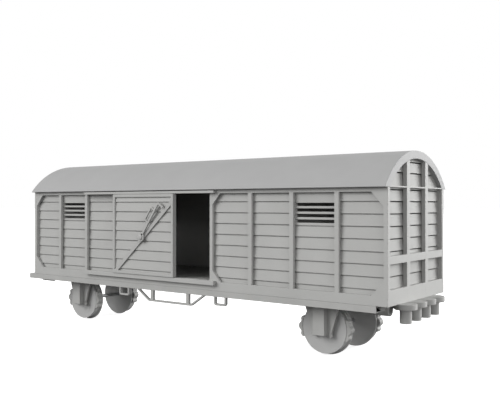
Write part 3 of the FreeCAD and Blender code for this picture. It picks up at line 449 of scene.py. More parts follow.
# %% Outlines, bars, straps and turned parts
def rounded(loop, radius, steps=4, closed=True):
    """An outline whose corners are arcs.

    At a corner the arc begins radius x tan(half the turn) before it and ends as far behind it, but never
    past 0.45 of the shorter edge. Its points are the circular blend of the two spokes from its centre.
    """
    here = np.asarray(loop, float)
    radius = np.broadcast_to(np.asarray(radius, float), len(here))
    before, after = np.roll(here, 1, 0) - here, np.roll(here, -1, 0) - here
    long_before, long_after = np.linalg.norm(before, axis=1), np.linalg.norm(after, axis=1)
    before, after = before / long_before[:, None], after / long_after[:, None]
    half = np.arccos(np.clip((before * after).sum(1), -1, 1)) / 2
    turn = np.maximum(np.pi / 2 - half, 1e-9)
    reach = np.minimum(radius * np.tan(turn), 0.45 * np.minimum(long_before, long_after))
    if not closed:
        reach[[0, -1]] = 0
    middle = before + after
    middle = middle / np.maximum(np.linalg.norm(middle, axis=1), 1e-12)[:, None]
    centre = here + middle * (reach / np.cos(half))[:, None]
    first, second = here + before * reach[:, None] - centre, here + after * reach[:, None] - centre
    t = np.linspace(0, 1, steps + 1)[None, :, None]
    whole = 2 * turn[:, None, None]
    blend = np.sin((1 - t) * whole) * first[:, None] + np.sin(t * whole) * second[:, None]
    blend = blend / np.sin(whole)
    points = np.where(reach[:, None, None] > 0, centre[:, None] + blend, here[:, None]).reshape(-1, 2)
    fresh = np.linalg.norm(points - np.roll(points, 1, 0), axis=1) > 1e-8
    fresh[0] = True if not closed else fresh[0]
    return points[fresh]


def outward_miters(loop):
    """For each point of a closed outline, the step outwards that moves both its edges by one unit."""
    edge = np.roll(loop, -1, 0) - loop
    normal = np.stack([edge[:, 1], -edge[:, 0]], 1) / np.linalg.norm(edge, axis=1)[:, None]
    area = np.sum(loop[:, 0] * np.roll(loop[:, 1], -1) - np.roll(loop[:, 0], -1) * loop[:, 1])
    normal = normal * np.sign(area)
    back = np.roll(normal, 1, 0)
    return (normal + back) / (1 + (normal * back).sum(1))[:, None]


AXIS_ORDER = {"X": [2, 0, 1], "Y": [0, 2, 1], "Z": [0, 1, 2]}


def bar(loop, low, high, axis, roll, ends="flat"):
    """A flat outline carried from low to high along an axis, with both end edges rolled.

    Near an end the outline is drawn in by roll x (1 - sin t) at a distance of roll x (1 - cos t). A bent
    outline, whose second half runs back beside the first, is shut with a strip of quads.
    """
    loop = np.asarray(loop, float)
    t = np.linspace(0, np.pi / 2, 4)
    depth = roll * (1 - np.cos(t))
    station = np.concatenate([low + depth, (high - depth)[::-1]])
    pull = np.concatenate([roll * (1 - np.sin(t)), (roll * (1 - np.sin(t)))[::-1]])
    flat = loop[None] - pull[:, None, None] * outward_miters(loop)[None]
    along = np.broadcast_to(station[:, None, None], (*flat.shape[:2], 1))
    rings = np.concatenate([flat, along], 2)[:, :, AXIS_ORDER[axis]]
    return tube(rings, ends)


def oblong(a_span, b_span, roll, steps=3):
    """A rectangle with rounded corners."""
    (a0, a1), (b0, b1) = a_span, b_span
    return rounded([(a0, b0), (a1, b0), (a1, b1), (a0, b1)], roll, steps)


def rectangle(a_span, b_span):
    """A rectangle with sharp corners, for bars whose end edges get a large roll."""
    (a0, a1), (b0, b1) = a_span, b_span
    return [(a0, b0), (a1, b0), (a1, b1), (a0, b1)]


def strap(path, y_span, thick, roll):
    """A flat bar bent along a path in the X-Z plane.

    The section is a rounded rectangle. Its first side lies across the path and its second along Y; at a
    bend the section is widened by 1 / cos(half the turn), so that the bar keeps its thickness.
    """
    path = np.asarray(path, float)
    run = np.diff(path, axis=0)
    run = run / np.linalg.norm(run, axis=1)[:, None]
    before, after = np.vstack([run[:1], run]), np.vstack([run, run[-1:]])
    side_before = np.stack([-before[:, 1], before[:, 0]], 1)
    side_after = np.stack([-after[:, 1], after[:, 0]], 1)
    side = (side_before + side_after) / (1 + (side_before * side_after).sum(1))[:, None]
    section = oblong((-thick / 2, thick / 2), y_span, roll)
    flat = path[:, None] + side[:, None] * section[None, :, :1]
    y = np.broadcast_to(section[None, :, 1:], (len(path), len(section), 1))
    return tube(np.concatenate([flat[:, :, :1], y, flat[:, :, 1:]], 2), "flat")


def turned(profile, centre, axis, steps=72, closed=False):
    """A profile of (radius, station) pairs spun round an axis through centre.

    A point goes to centre + radius x (cos, sin) in the plane across the axis, at its own station. A
    closed profile makes a ring with a bore. An open one begins and ends on the axis.
    """
    profile = np.asarray(profile, float)
    angle = np.linspace(0, 2 * np.pi, steps, endpoint=False)
    a = centre[0] + np.cos(angle)[:, None] * profile[:, 0]
    b = centre[1] + np.sin(angle)[:, None] * profile[:, 0]
    station = np.broadcast_to(profile[:, 1], a.shape)
    rings = np.stack([a, b, station], -1)[:, :, AXIS_ORDER[axis]]
    if closed:
        return tube(rings, "loop")
    count, around = rings.shape[:2]
    i, j = np.meshgrid(np.arange(count), np.arange(around - 1), indexing="ij")
    i2 = (i + 1) % count
    quads = np.stack([i * around + j, i2 * around + j, i2 * around + j + 1, i * around + j + 1], -1)
    return outward(*welded(rings.reshape(-1, 3), quads.reshape(-1, 4)))


def inner_outer(node, axis):
    """The least and the greatest distance of a fixed part from the car's middle along an axis."""
    low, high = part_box(node)
    return sorted((abs(getattr(low, axis)), abs(getattr(high, axis))))


print("tools: rounded, bar, strap, turned, inner_outer")

# %% [markdown]
# ## The roof
# The roof of a covered wagon is one bent shell. Its section is a round arc with a flat foot on each side,
# which rests on the side frames and stands a little past them. Two arcs and four corners give the whole
# outline. The radius comes from the roof's own height and width: half the chord squared plus the rise
# squared, over twice the rise. A cylinder cut in half would do too, but it has no lips to catch light.


# %% Roof
roof_low, roof_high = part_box("roof")
arch_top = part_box("end_boards_right")[1].z
rise = roof_high.z - roof_low.z
ROOF_RADIUS = (roof_high.y ** 2 + rise ** 2) / (2 * rise)
ROOF_AXIS = roof_high.z - ROOF_RADIUS
ARCH_RADIUS = arch_top - ROOF_AXIS


def arch(radius, foot, count):
    """Points of an arc round the roof's axis, from one foot height over the top to the other."""
    reach = np.arccos((foot - ROOF_AXIS) / radius)
    angle = np.linspace(-reach, reach, count)
    return np.stack([radius * np.sin(angle), ROOF_AXIS + radius * np.cos(angle)], 1)


outer = arch(ROOF_RADIUS, roof_low.z, 65)
inner = arch(ARCH_RADIUS, roof_low.z, 65)
roof_outline = np.concatenate([outer, inner[::-1]])
eave_roll = np.zeros(len(roof_outline))
eave_roll[[0, 64]] = 0.5 * MM
eave_roll[[65, 129]] = 0.4 * MM
roof_outline = rounded(roof_outline, eave_roll)
roof_skin = bar(roof_outline, roof_low.x, roof_high.x, "X", 0.3 * MM, "strip")
make_piece("roof_shell", [roof_skin], roof_plastic_painted_shade, "roof")
print("roof radius in millimetres:", round(ROOF_RADIUS / MM, 1))

# %% [markdown]
# ## Lapped boards
# The walls are clad in lapped boards: each leans out towards its lower edge and covers the top of the one
# below. In a section the face is a saw-tooth: it stands one lap out at the bottom of a board and comes
# back to nothing at its top. The lip is rounded with a quarter circle, and a narrow gap runs under it, so
# that the lip throws the thin dark line by which lapped boards are read. One formula gives all three kinds
# of wall: the sides, the ends, whose upper boards are trimmed to the roof's arc, and the doors. Separate
# planks would need many hidden faces, so each wall is one thick sheet.


# %% Board section
LAP = 0.85 * MM
LIP = 0.12 * MM
GAP_HEIGHT = 0.9 * MM
GAP_DEPTH = 0.7 * MM


def lapped(low, high, laps, fill=1, lip_above=False):
    """Heights of a lapped face, and how far it stands out there.

    On a board that starts on a lap line, the face stands out by LAP x (1 - t), with t from 0 at its foot
    to 1 at its head. Within LIP of the foot a quarter circle is taken off:
    LIP - sqrt(LIP^2 - (LIP - height)^2). fill is the number of rows above the lip. Under the lip of the
    next board the face steps back by GAP_DEPTH, over a height of GAP_HEIGHT. lip_above gives the topmost
    board such a gap too.
    """
    foot = np.array([low, *laps])
    head = np.array([*laps, high])
    under_a_lip = np.arange(len(foot))[:, None] < len(laps) + lip_above
    length = head - foot
    lip_rows = LIP * (1 - np.cos(np.linspace(0, np.pi / 2, 5)))
    plain = np.where(under_a_lip[:, 0], length - GAP_HEIGHT, length) - LIP
    upper = LIP + np.linspace(0, 1, fill + 1)[1:] * plain[:, None]
    gap = length[:, None] - GAP_HEIGHT * np.array([0.85, 0]) * under_a_lip
    height = np.concatenate([np.broadcast_to(lip_rows, (len(foot), 5)), upper, gap], 1)
    t = height / length[:, None]
    taken = LIP - np.sqrt(np.maximum(LIP ** 2 - np.clip(LIP - height, 0, LIP) ** 2, 0))
    starts_on_lap = np.arange(len(foot))[:, None] > 0
    out = np.where(starts_on_lap, LAP * (1 - t) - taken, 0)
    out[:, -2:] = np.where(under_a_lip, -GAP_DEPTH, out[:, -2:])
    return (foot[:, None] + height).reshape(-1), out.reshape(-1)


def thick_sheet(front, back):
    """A closed skin between two grids of the same shape, joined round their border."""
    return tube(np.concatenate([front, back[:, ::-1]], 1), "strip")


# %% [markdown]
# ## Side boards
# Each side has two runs of boards, one on either side of the doorway, and each run leaves a hole for its
# louvre. The run is split behind the posts into a part left of the louvre, parts below and above it, and
# a part right of it, with a hair's gap that the posts hide. Beside the end boards only a thin outer layer
# goes on to the corner post.

# %% Side boards
SIDE_LAPS = [(126.6 - 9.45 * k) * MM for k in range(7, -1, -1)]
HAIR_GAP = 0.05 * MM
END_LAYER = 1.65 * MM
END_HALF = 50.42 * MM


def side_sheet(side, back, face, x_span, low, high, laps, lip_above=False):
    """Lapped boards between two X stations: Y is the face plus the lap, and Z is the height."""
    room = LIP + GAP_HEIGHT
    inside = [lap for lap in laps if low + room < lap < high - room]
    z, out = lapped(low, high, inside, lip_above=lip_above)
    x = np.array(x_span)
    grid_x, grid_z = np.broadcast_to(x, (len(z), 2)), np.broadcast_to(z[:, None], (len(z), 2))
    front = np.stack([grid_x, side * (face + np.broadcast_to(out[:, None], (len(z), 2))), grid_z], -1)
    rear = np.stack([grid_x, np.full_like(grid_x, side * back), grid_z], -1)
    return thick_sheet(front, rear)


def side_boards(side_word, side, end_word):
    """The boards of one run, round the hole of its louvre."""
    boards, insert = f"side_boards_{side_word}_{end_word}", f"louvre_{side_word}_{end_word}"
    low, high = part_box(boards)
    hole_low, hole_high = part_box(insert)
    back, out = inner_outer(boards, "y")
    face = out - LAP
    end = ENDS[end_word]
    doorway, corner = inner_outer(boards, "x")
    hole = inner_outer(insert, "x")
    full = dict(low=low.z, high=high.z, laps=SIDE_LAPS)
    spans = [(doorway, hole[0] - HAIR_GAP), (hole[1] + HAIR_GAP, corner - END_LAYER)]
    sheets = [side_sheet(side, back, face, sorted(end * np.array(span)), **full) for span in spans]
    tail = sorted(end * np.array([corner - END_LAYER, corner]))
    hole_x = (hole_low.x, hole_high.x)
    sheets += [side_sheet(side, END_HALF + HAIR_GAP, face, tail, **full),
               side_sheet(side, back, face, hole_x, low.z, hole_low.z, SIDE_LAPS, lip_above=True),
               side_sheet(side, back, face, hole_x, hole_high.z, high.z, [])]
    make_piece(f"lapped_side_{side_word}_{end_word}", sheets, board_plastic, boards)


for side_word, side in SIDES.items():
    for end_word in ENDS:
        side_boards(side_word, side, end_word)

# %% [markdown]
# ## End boards
# The end walls use the same saw-tooth, but above the eaves the boards are trimmed to the arc under the
# roof. At height z the arc is sqrt(R^2 - (z - axis)^2) wide, and clipping the columns of the grid to that
# width does the trimming. A plain backing fills the space between the side boards.

# %% End boards
GABLE_LAPS = [135.6 * MM, 148.9 * MM, 157.7 * MM]


def half_chord(z, widest):
    """Half the wall's width at a height: the widest value, or the arc's half chord where it is less."""
    above = np.maximum(z - ROOF_AXIS, 0)
    return np.minimum(widest, np.sqrt(np.maximum(ARCH_RADIUS ** 2 - above ** 2, 0)))


def end_boards(end_word, end):
    """One end wall: lapped boards over Y and Z, trimmed to the arc, on a plain backing."""
    low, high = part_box(f"end_boards_{end_word}")
    inner_x, outer_x = inner_outer(f"end_boards_{end_word}", "x")
    step_x = outer_x - END_LAYER
    z, out = lapped(low.z, high.z - 0.02 * MM, SIDE_LAPS + GABLE_LAPS, fill=8)
    y = np.linspace(-1, 1, 9)[None] * half_chord(z, high.y)[:, None]
    rows_z = np.broadcast_to(z[:, None], y.shape)
    front_x = end * (outer_x - LAP + np.broadcast_to(out[:, None], y.shape))
    front = np.stack([front_x, y, rows_z], -1)
    back = np.stack([np.full_like(y, end * step_x), y, rows_z], -1)
    z = np.concatenate([[low.z], np.linspace(roof_low.z, high.z - 0.1 * MM, 24)])
    side_y = half_chord(z, abs(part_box("side_boards_near_right")[1].y) - HAIR_GAP)
    backing = np.concatenate([np.stack([side_y, z], 1), np.stack([-side_y, z], 1)[::-1]])
    depth = sorted((end * inner_x, end * (step_x + 0.1 * MM)))
    solids = [thick_sheet(front, back), bar(backing, *depth, "X", 0.05 * MM)]
    make_piece(f"lapped_end_{end_word}", solids, end_board_plastic_painted_shade, f"end_boards_{end_word}")


for end_word, end in ENDS.items():
    end_boards(end_word, end)

# %% [markdown]
# ## Side frames
# The outer frame of a side is one moulding: a bottom rail and a top rail with gussets in their corners,
# and slim posts between them. Each rail is a single outline that steps up at the gussets and at the
# doorway. The posts stand a few hundredths of a millimetre prouder than the rails, and reach a little
# further back, so that both can keep rolled edges and still look like one piece where they cross.

# %% Side frames
PROUD = 0.03 * MM
BACK_STEP = 0.1 * MM
EDGE_ROLL = 0.2 * MM
WINDOW_HEIGHTS = (56.2 * MM, 133.55 * MM)
DOORWAY_HEIGHTS = (57.2 * MM, 133.9 * MM)
POST_EDGES = np.array([81.6, 123.3, 165.0]) * MM
POST_WIDTH = 3.9 * MM
JAMB_SPAN = (39.5 * MM, 42.8 * MM)
DOOR_GUSSET = np.array([8.5, 9.6]) * MM
CORNER_GUSSET = np.array([10.15, 11.5]) * MM


def mirrored(points):
    """An outline given for the right half, completed with its mirror image on the left."""
    points = np.asarray(points, float)
    return np.concatenate([points, points[::-1] * (-1, 1)])


def rail_outline(edge, window, doorway, up, corner):
    """A rail from its far edge to the windows, with gussets at the doorway and at the corners.

    up is 1 for a bottom rail and -1 for a top rail. The ends reach a little way into the corner posts.
    """
    jamb, inner = JAMB_SPAN
    door_x, door_z = DOOR_GUSSET
    corner_x, corner_z = CORNER_GUSSET
    reach = corner + 1.2 * MM
    half = [(jamb, doorway), (jamb, window + up * door_z), (inner, window + up * door_z),
            (inner + door_x, window), (corner - corner_x, window), (corner, window + up * corner_z),
            (reach, window + up * corner_z), (reach, edge)]
    return mirrored(half)


def side_frame(side_word, side):
    """Two rails, two jambs and six posts of one side."""
    low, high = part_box(f"side_frame_{side_word}")
    back, face = inner_outer(f"side_frame_{side_word}", "y")
    rail_depth = sorted((side * (back + BACK_STEP), side * (face - PROUD)))
    post_depth = sorted((side * back, side * face))
    foot, head = WINDOW_HEIGHTS
    rails = [rail_outline(low.z, foot, DOORWAY_HEIGHTS[0], 1, high.x),
             rail_outline(high.z, head, DOORWAY_HEIGHTS[1], -1, high.x)]
    solids = [bar(rail, *rail_depth, "Y", EDGE_ROLL) for rail in rails]
    spans = [JAMB_SPAN, *[(edge, edge + POST_WIDTH) for edge in POST_EDGES]]
    for end in ENDS.values():
        for span in spans:
            outline = rectangle(sorted(end * np.array(span)), (low.z, high.z))
            solids.append(bar(outline, *post_depth, "Y", EDGE_ROLL))
    make_piece(f"frame_{side_word}", solids, body_plastic, f"side_frame_{side_word}")


for side_word, side in SIDES.items():
    side_frame(side_word, side)

# %% [markdown]
# ## End frames
# An end wall has corner posts, two middle posts that run up to the roof, and three cross bars. The middle
# posts end on the arc under the roof, so their tops are slanted: each top corner lies at the height
# axis + sqrt(R^2 - y^2). The thin eave bar ends on the same arc.

# %% End frames
END_ROWS = [(48.5 * MM, 60.55 * MM), (79.45 * MM, 85.5 * MM)]
EAVE_BAR = (136.9 * MM, 138 * MM)
MIDDLE_POST = (14.85 * MM, 20.72 * MM)


def arc_height(y):
    """Height of the arc under the roof at a distance from the middle plane."""
    return ROOF_AXIS + math.sqrt(ARCH_RADIUS ** 2 - y ** 2)


def end_frame(end_word, end):
    """Posts and cross bars of one end."""
    low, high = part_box(f"end_frame_{end_word}")
    back_x, face_x = inner_outer(f"end_frame_{end_word}", "x")
    post_depth = sorted((end * back_x, end * face_x))
    bar_depth = sorted((end * (back_x + BACK_STEP), end * (face_x - PROUD)))
    inside_corner = high.y - 0.5 * MM
    solids = [bar(rectangle((-inside_corner, inside_corner), row), *bar_depth, "X", EDGE_ROLL)
              for row in END_ROWS]
    foot, head = EAVE_BAR
    reach = half_chord(np.array(EAVE_BAR), high.y)
    eave = mirrored([(reach[0], foot), (reach[1], head)])
    solids.append(bar(eave, *bar_depth, "X", 0.15 * MM))
    inner, outer = MIDDLE_POST
    for side in SIDES.values():
        post = np.array([(inner, low.z), (outer, low.z),
                         (outer, arc_height(outer)), (inner, arc_height(inner))])
        solids.append(bar(post * (side, 1), *post_depth, "X", EDGE_ROLL))
        across = sorted((side * END_HALF, side * high.y))
        corner = oblong(sorted((end * back_x, end * face_x)), across, EDGE_ROLL)
        solids.append(bar(corner, low.z, roof_low.z, "Z", 0.05 * MM))
    make_piece(f"frame_{end_word}", solids, body_plastic, f"end_frame_{end_word}")


for end_word, end in ENDS.items():
    end_frame(end_word, end)

# %% [markdown]
# ## Louvres
# Air gets in through four slots in a flat insert near each end of a side. The insert is two upright
# strips with slats between them, and a tall plate above the slots. Cutting slots out of a plate gives the
# same shape, but slats keep their rounded lips, and those lips make the slots look soft at their ends.

# %% Louvres
SLOT_HEIGHT = 2.6 * MM
SLOT_PITCH = 4.45 * MM
TOP_SLOT = 124 * MM
STRIP_WIDTH = 1.4 * MM


def louvre(side_word, side, end_word):
    """Strips, slats and plates of one insert."""
    name = f"louvre_{side_word}_{end_word}"
    low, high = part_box(name)
    back, face = inner_outer(name, "y")
    slots = TOP_SLOT - SLOT_PITCH * np.arange(4)
    tops = np.concatenate([[high.z], slots - SLOT_HEIGHT / 2])
    feet = np.concatenate([slots + SLOT_HEIGHT / 2, [low.z]])
    depth = sorted((side * back, side * (face - PROUD)))
    solids = [bar(rectangle((low.x + 0.1 * MM, high.x - 0.1 * MM), rows), *depth, "Y", 0.2 * MM)
              for rows in zip(feet, tops)]
    depth = sorted((side * back, side * face))
    for span in ((low.x, low.x + STRIP_WIDTH), (high.x - STRIP_WIDTH, high.x)):
        solids.append(bar(rectangle(span, (low.z, high.z)), *depth, "Y", 0.2 * MM))
    make_piece(f"slats_{side_word}_{end_word}", solids, body_plastic, name)


for side_word, side in SIDES.items():
    for end_word in ENDS:
        louvre(side_word, side, end_word)

# %% [markdown]
# ## Door frames
# A door is a rectangle of two stiles and two rails. Its members are bars like those of the side frame,
# and a thin tongue on its upper and lower edge slides in the groove of a door rail.

# %% Door frames
DOOR_MEMBER = 2.7 * MM
DOOR_HEIGHTS = (57.5 * MM, 133.6 * MM)
TONGUE_DEPTH = np.array([56.2, 57.2]) * MM
TONGUE_INSET = 2 * MM


def door_members(side_word, side):
    """Two stiles, two rails and the two tongues that run in the grooves of the door rails."""
    low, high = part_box(f"door_frame_{side_word}")
    back, face = inner_outer(f"door_frame_{side_word}", "y")
    foot, head = DOOR_HEIGHTS
    stile_depth = sorted((side * back, side * face))
    rail_depth = sorted((side * (back + BACK_STEP), side * (face - PROUD)))
    stiles = [(low.x, low.x + DOOR_MEMBER), (high.x - DOOR_MEMBER, high.x)]
    rails = [(foot, foot + DOOR_MEMBER), (head - DOOR_MEMBER, head)]
    tongues = [(low.z, foot + DOOR_MEMBER / 2), (head - DOOR_MEMBER / 2, high.z)]
    rail_x = (low.x + 0.3 * MM, high.x - 0.3 * MM)
    tongue_x = (low.x + TONGUE_INSET, high.x - TONGUE_INSET)
    solids = [bar(rectangle(span, DOOR_HEIGHTS), *stile_depth, "Y", EDGE_ROLL) for span in stiles]
    solids += [bar(rectangle(rail_x, rows), *rail_depth, "Y", EDGE_ROLL) for rows in rails]
    solids += [bar(rectangle(tongue_x, rows), *sorted(side * TONGUE_DEPTH), "Y", 0.1 * MM)
               for rows in tongues]
    make_piece(f"door_members_{side_word}", solids, door_plastic, f"door_frame_{side_word}",
               f"door_{side_word}")


for side_word, side in SIDES.items():
    door_members(side_word, side)

# %% [markdown]
# ## Door boards
# A door is a flat frame with its own lapped boards set inside it. They are the same kind of sheet, on
# a slightly closer pitch, and they travel with the door.

# %% Door boards
DOOR_LAPS = [(126.4 - 9.15 * k) * MM for k in range(7, -1, -1)]

for side_word, side in SIDES.items():
    low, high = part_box(f"door_boards_{side_word}")
    back, out = inner_outer(f"door_boards_{side_word}", "y")
    sheet = side_sheet(side, back, out - LAP, (low.x, high.x), low.z, high.z, DOOR_LAPS)
    make_piece(f"lapped_door_{side_word}", [sheet], board_plastic, f"door_boards_{side_word}",
               f"door_{side_word}")

# %% [markdown]
# ## Latch lever and its pin
# The lever is a thin bar that leans along the door's brace. Its tip is bent into a hook that drops over a
# catch, and a flat loop on its upper side is there to pull it. All of it is bent from the same bar, so
# straps make it, and a turned eye and a domed rivet hold it. The two doors carry mirrored levers.

# %% Latches
LEVER_ANGLE = math.radians(54.7)
LEVER_LENGTH = 40.4 * MM
LEVER_WIDTH = 2 * MM
HOOK_DROP = 7.2 * MM
PULL_SPAN = (16 * MM, 31.8 * MM)
PULL_REACH = 5.8 * MM
EYE_RADIUS = 4.2 * MM


def latch(side_word, side):
    """A lever on its rivet: points are given along the lever and across it, then leaned over."""
    low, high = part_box(f"latch_lever_{side_word}")
    pin_low, pin_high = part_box(f"latch_pin_{side_word}")
    middle = (pin_low + pin_high) / 2
    lean = -side

    def spots(pairs):
        """Turn (along, across) pairs into X and Z round the rivet."""
        along, across = np.asarray(pairs, float).T
        x = along * math.cos(LEVER_ANGLE) - across * math.sin(LEVER_ANGLE)
        z = along * math.sin(LEVER_ANGLE) + across * math.cos(LEVER_ANGLE)
        return np.stack([middle.x + lean * x, middle.z + z], 1)

    half = LEVER_WIDTH / 2
    loop_bar = 1.5 * MM
    tip = LEVER_LENGTH - half
    shank = rounded([(0, 0), (tip, 0), (tip, -HOOK_DROP)], 1.4 * MM, 5, False)
    pull_low, pull_high = PULL_SPAN[0] + loop_bar / 2, PULL_SPAN[1] - loop_bar / 2
    top = PULL_REACH - loop_bar / 2
    pull = [(pull_low, 0), (pull_low, top), (pull_high, top), (pull_high, 0)]
    pull = rounded(pull, 1.2 * MM, 5, False)
    depth = (low.y, high.y)
    eye = turned(rounded([(0, depth[0]), (EYE_RADIUS, depth[0]), (EYE_RADIUS, depth[1]), (0, depth[1])],
                         0.35 * MM, 4, False), (middle.x, middle.z), "Y")
    inset = 0.1 * MM
    solids = [strap(spots(shank), depth, LEVER_WIDTH, 0.15 * MM),
              strap(spots(pull), (low.y + inset, high.y - inset), loop_bar, 0.15 * MM), eye]
    make_piece(f"lever_{side_word}", solids, door_plastic, f"latch_lever_{side_word}",
               f"latch_{side_word}")

    shank_radius, head_radius, dome = 1.5 * MM, (pin_high.x - pin_low.x) / 2, 0.45 * MM
    inner_y, outer_y = inner_outer(f"latch_pin_{side_word}", "y")
    face, root = side * outer_y, side * inner_y
    under = face - side * 1 * MM
    t = np.linspace(0, np.pi / 2, 7)
    crown = np.stack([head_radius * np.cos(t), face - side * dome * (1 - np.sin(t))], 1)
    stem = [(0, root), (shank_radius, root), (shank_radius, under), (head_radius, under)]
    rivet = np.concatenate([stem, crown])
    make_piece(f"rivet_{side_word}", [turned(rivet, (middle.x, middle.z), "Y", 40)], painted_steel,
               f"latch_pin_{side_word}", f"door_{side_word}")


for side_word, side in SIDES.items():
    latch(side_word, side)

# %% [markdown]
# ## Sills
# A sill is a channel that runs the whole length under the side, open towards the middle of the car. Its
# outline is a C carried along X, with all its corners rounded. A small step in the upper outer corner
# leaves a seam under the body, as there is wherever two mouldings are glued together.

# %% Sills
SILL_WEB = 1.6 * MM
SILL_FLANGE = 1.2 * MM
SEAM = 0.4 * MM

for side_word, side in SIDES.items():
    low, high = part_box(f"sill_{side_word}")
    inner_y, outer_y = inner_outer(f"sill_{side_word}", "y")
    seam_y, seam_z = outer_y - SEAM, high.z - SEAM
    channel = [(inner_y, high.z), (seam_y, high.z), (seam_y, seam_z), (outer_y, seam_z),
               (outer_y, low.z), (inner_y, low.z),
               (inner_y, low.z + SILL_FLANGE), (outer_y - SILL_WEB, low.z + SILL_FLANGE),
               (outer_y - SILL_WEB, high.z - SILL_FLANGE), (inner_y, high.z - SILL_FLANGE)]
    channel = rounded(channel, 0.15 * MM, 3) * (side, 1)
    make_piece(f"channel_{side_word}", [bar(channel, low.x, high.x, "X", 0.2 * MM, "strip")],
               underframe_plastic, f"sill_{side_word}")

# %% [markdown]
# ## Truss rods and steps
# Under each sill a flat bar is bent into a shallow truss, held off by two queen posts, and a stirrup step
# hangs on either side of it. They are straps: the path is a line with rounded bends.

# %% Truss rods and steps
BAR_THICK = 1.7 * MM
BAR_ROLL = 0.12 * MM


def truss(side_word):
    """A bent bar with sloping ends, and its two queen posts."""
    low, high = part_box(f"truss_{side_word}")
    middle, half = (low.x + high.x) / 2, (high.x - low.x) / 2
    slope_run, post_spot, post_half, foot = 16.1 * MM, 22.3 * MM, 1.7 * MM, 1.35 * MM
    line = low.z + BAR_THICK / 2
    slope = np.array([(half - slope_run, line), (half - foot, high.z)])
    path = rounded(np.concatenate([slope[::-1] * (-1, 1), slope]) + (middle, 0), 3 * MM, 5, False)
    solids = [strap(path, (low.y, high.y), BAR_THICK, BAR_ROLL)]
    for turn in (-1, 1):
        spot = middle + turn * post_spot
        depth = (low.y + 0.05 * MM, high.y - 0.05 * MM)
        post = oblong((spot - post_half, spot + post_half), depth, BAR_ROLL)
        solids.append(bar(post, line, high.z, "Z", 0.1 * MM))
    make_piece(f"truss_rod_{side_word}", solids, underframe_plastic, f"truss_{side_word}")


def stirrups():
    """Four U-shaped steps, two under each sill."""
    low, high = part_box("stirrup_steps")
    middle, outer = (low.x + high.x) / 2, (high.x - low.x) / 2
    thick = BAR_THICK / 2
    inner = outer - 13.5 * MM
    truss_depth = np.array(inner_outer("truss_near", "y"))
    solids = []
    for side in SIDES.values():
        for end in ENDS.values():
            a, b = middle + end * (inner + thick), middle + end * (outer - thick)
            foot = low.z + thick
            path = rounded([(a, high.z), (a, foot), (b, foot), (b, high.z)], 1.6 * MM, 6, False)
            solids.append(strap(path, sorted(side * truss_depth), BAR_THICK, BAR_ROLL))
    make_piece("stirrups", solids, underframe_plastic, "stirrup_steps")


for side_word in SIDES:
    truss(side_word)
stirrups()

# %% [markdown]
# ## Buffer pegs and sleeves
# Four mushroom pegs hang in a row under the end beam, and four short tubes sit on the corners of the
# underframe. Both kinds are turned. A peg's profile begins and ends on its axis, with a small spigot on
# top that is glued into the beam. A sleeve's profile goes round the mouth and down the blind bore.

# %% Buffer pegs and sleeves
PEG_PITCH = 18.4 * MM


def pegs():
    """Four pegs: head, stem and a spigot that stands off the peg's own axis."""
    low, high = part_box("buffer_pegs")
    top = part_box("end_frame_right")[0].z
    head, stem = 8.8 * MM, 4.6 * MM
    centre_x = high.x - head
    spigot_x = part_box("end_frame_right")[1].x - 1.75 * MM
    shoulder = top - 4.4 * MM
    roll = np.array([0, 0.5, 0.25, 0.45, 0.45, 0]) * MM
    profile = [(0, low.z), (stem, low.z), (stem, shoulder), (head, shoulder), (head, top), (0, top)]
    profile = rounded(profile, roll, 4, False)
    spigot = rounded([(0, top - 1 * MM), (1.2 * MM, top - 1 * MM), (1.2 * MM, high.z), (0, high.z)],
                     0.2 * MM, 3, False)
    solids = []
    for k in range(4):
        y = (k - 1.5) * PEG_PITCH
        solids += [turned(profile, (centre_x, y), "Z"), turned(spigot, (spigot_x, y), "Z", 24)]
    make_piece("mushroom_pegs", solids, underframe_plastic, "buffer_pegs")


def sleeves():
    """Four tubes with a blind bore that opens away from the car."""
    low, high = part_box("buffer_sleeves")
    radius, bore, deep, length = 4.6 * MM, 2.5 * MM, 10 * MM, 17.6 * MM
    middle_y, middle_z = high.y - radius, (low.z + high.z) / 2
    roll = np.array([0, 0.6, 0.5, 0.3, 0.2, 0]) * MM
    solids = []
    for end, mouth in ((-1, low.x), (1, high.x)):
        root = mouth - end * length
        bottom = mouth - end * deep
        profile = [(0, root), (radius, root), (radius, mouth), (bore, mouth), (bore, bottom), (0, bottom)]
        profile = rounded(profile, roll, 4, False)
        solids += [turned(profile, (side * middle_y, middle_z), "X", 48) for side in SIDES.values()]
    make_piece("sleeve_tubes", solids, underframe_plastic, "buffer_sleeves")


pegs()
sleeves()

# %% [markdown]
# ## Wheels and axles
# The wheels are turned discs with a coned tread and a rounded flange on the inner face. The profile is a
# closed loop with the bore as its inner edge. The axle is steel, with a shoulder on each side where the
# thin journal begins, and it turns in brass bushes.

# %% Wheels and axles
TREAD_RADIUS = 20.7 * MM
AXLE_RADIUS = 1.7 * MM
JOURNAL_RADIUS = 1.5 * MM
WHEEL_STEPS = 144


def wheel(side_word, side, end_word):
    """One wheel, from its back face with the flange to its outer face."""
    low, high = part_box(f"wheel_{side_word}_{end_word}")
    back, face = inner_outer(f"wheel_{side_word}_{end_word}", "y")
    centre = ((low.x + high.x) / 2, (low.z + high.z) / 2)
    flange = (high.z - low.z) / 2
    crown, root = back + 1.2 * MM, back + 2.4 * MM
    cone = TREAD_RADIUS + 0.15 * MM
    corners = [(AXLE_RADIUS, back), (flange - 0.1 * MM, back), (flange, crown), (cone, root),
               (TREAD_RADIUS, face), (AXLE_RADIUS, face)]
    roll = np.array([0.1, 0.5, 0.5, 0.5, 0.25, 0.1]) * MM
    profile = rounded(corners, roll, 5) * (1, side)
    disc = turned(profile, centre, "Y", WHEEL_STEPS, closed=True)
    make_piece(f"disc_{side_word}_{end_word}", [disc], wheel_plastic_painted_light, f"wheel_{side_word}_{end_word}",
               f"wheelset_{end_word}")
    return centre


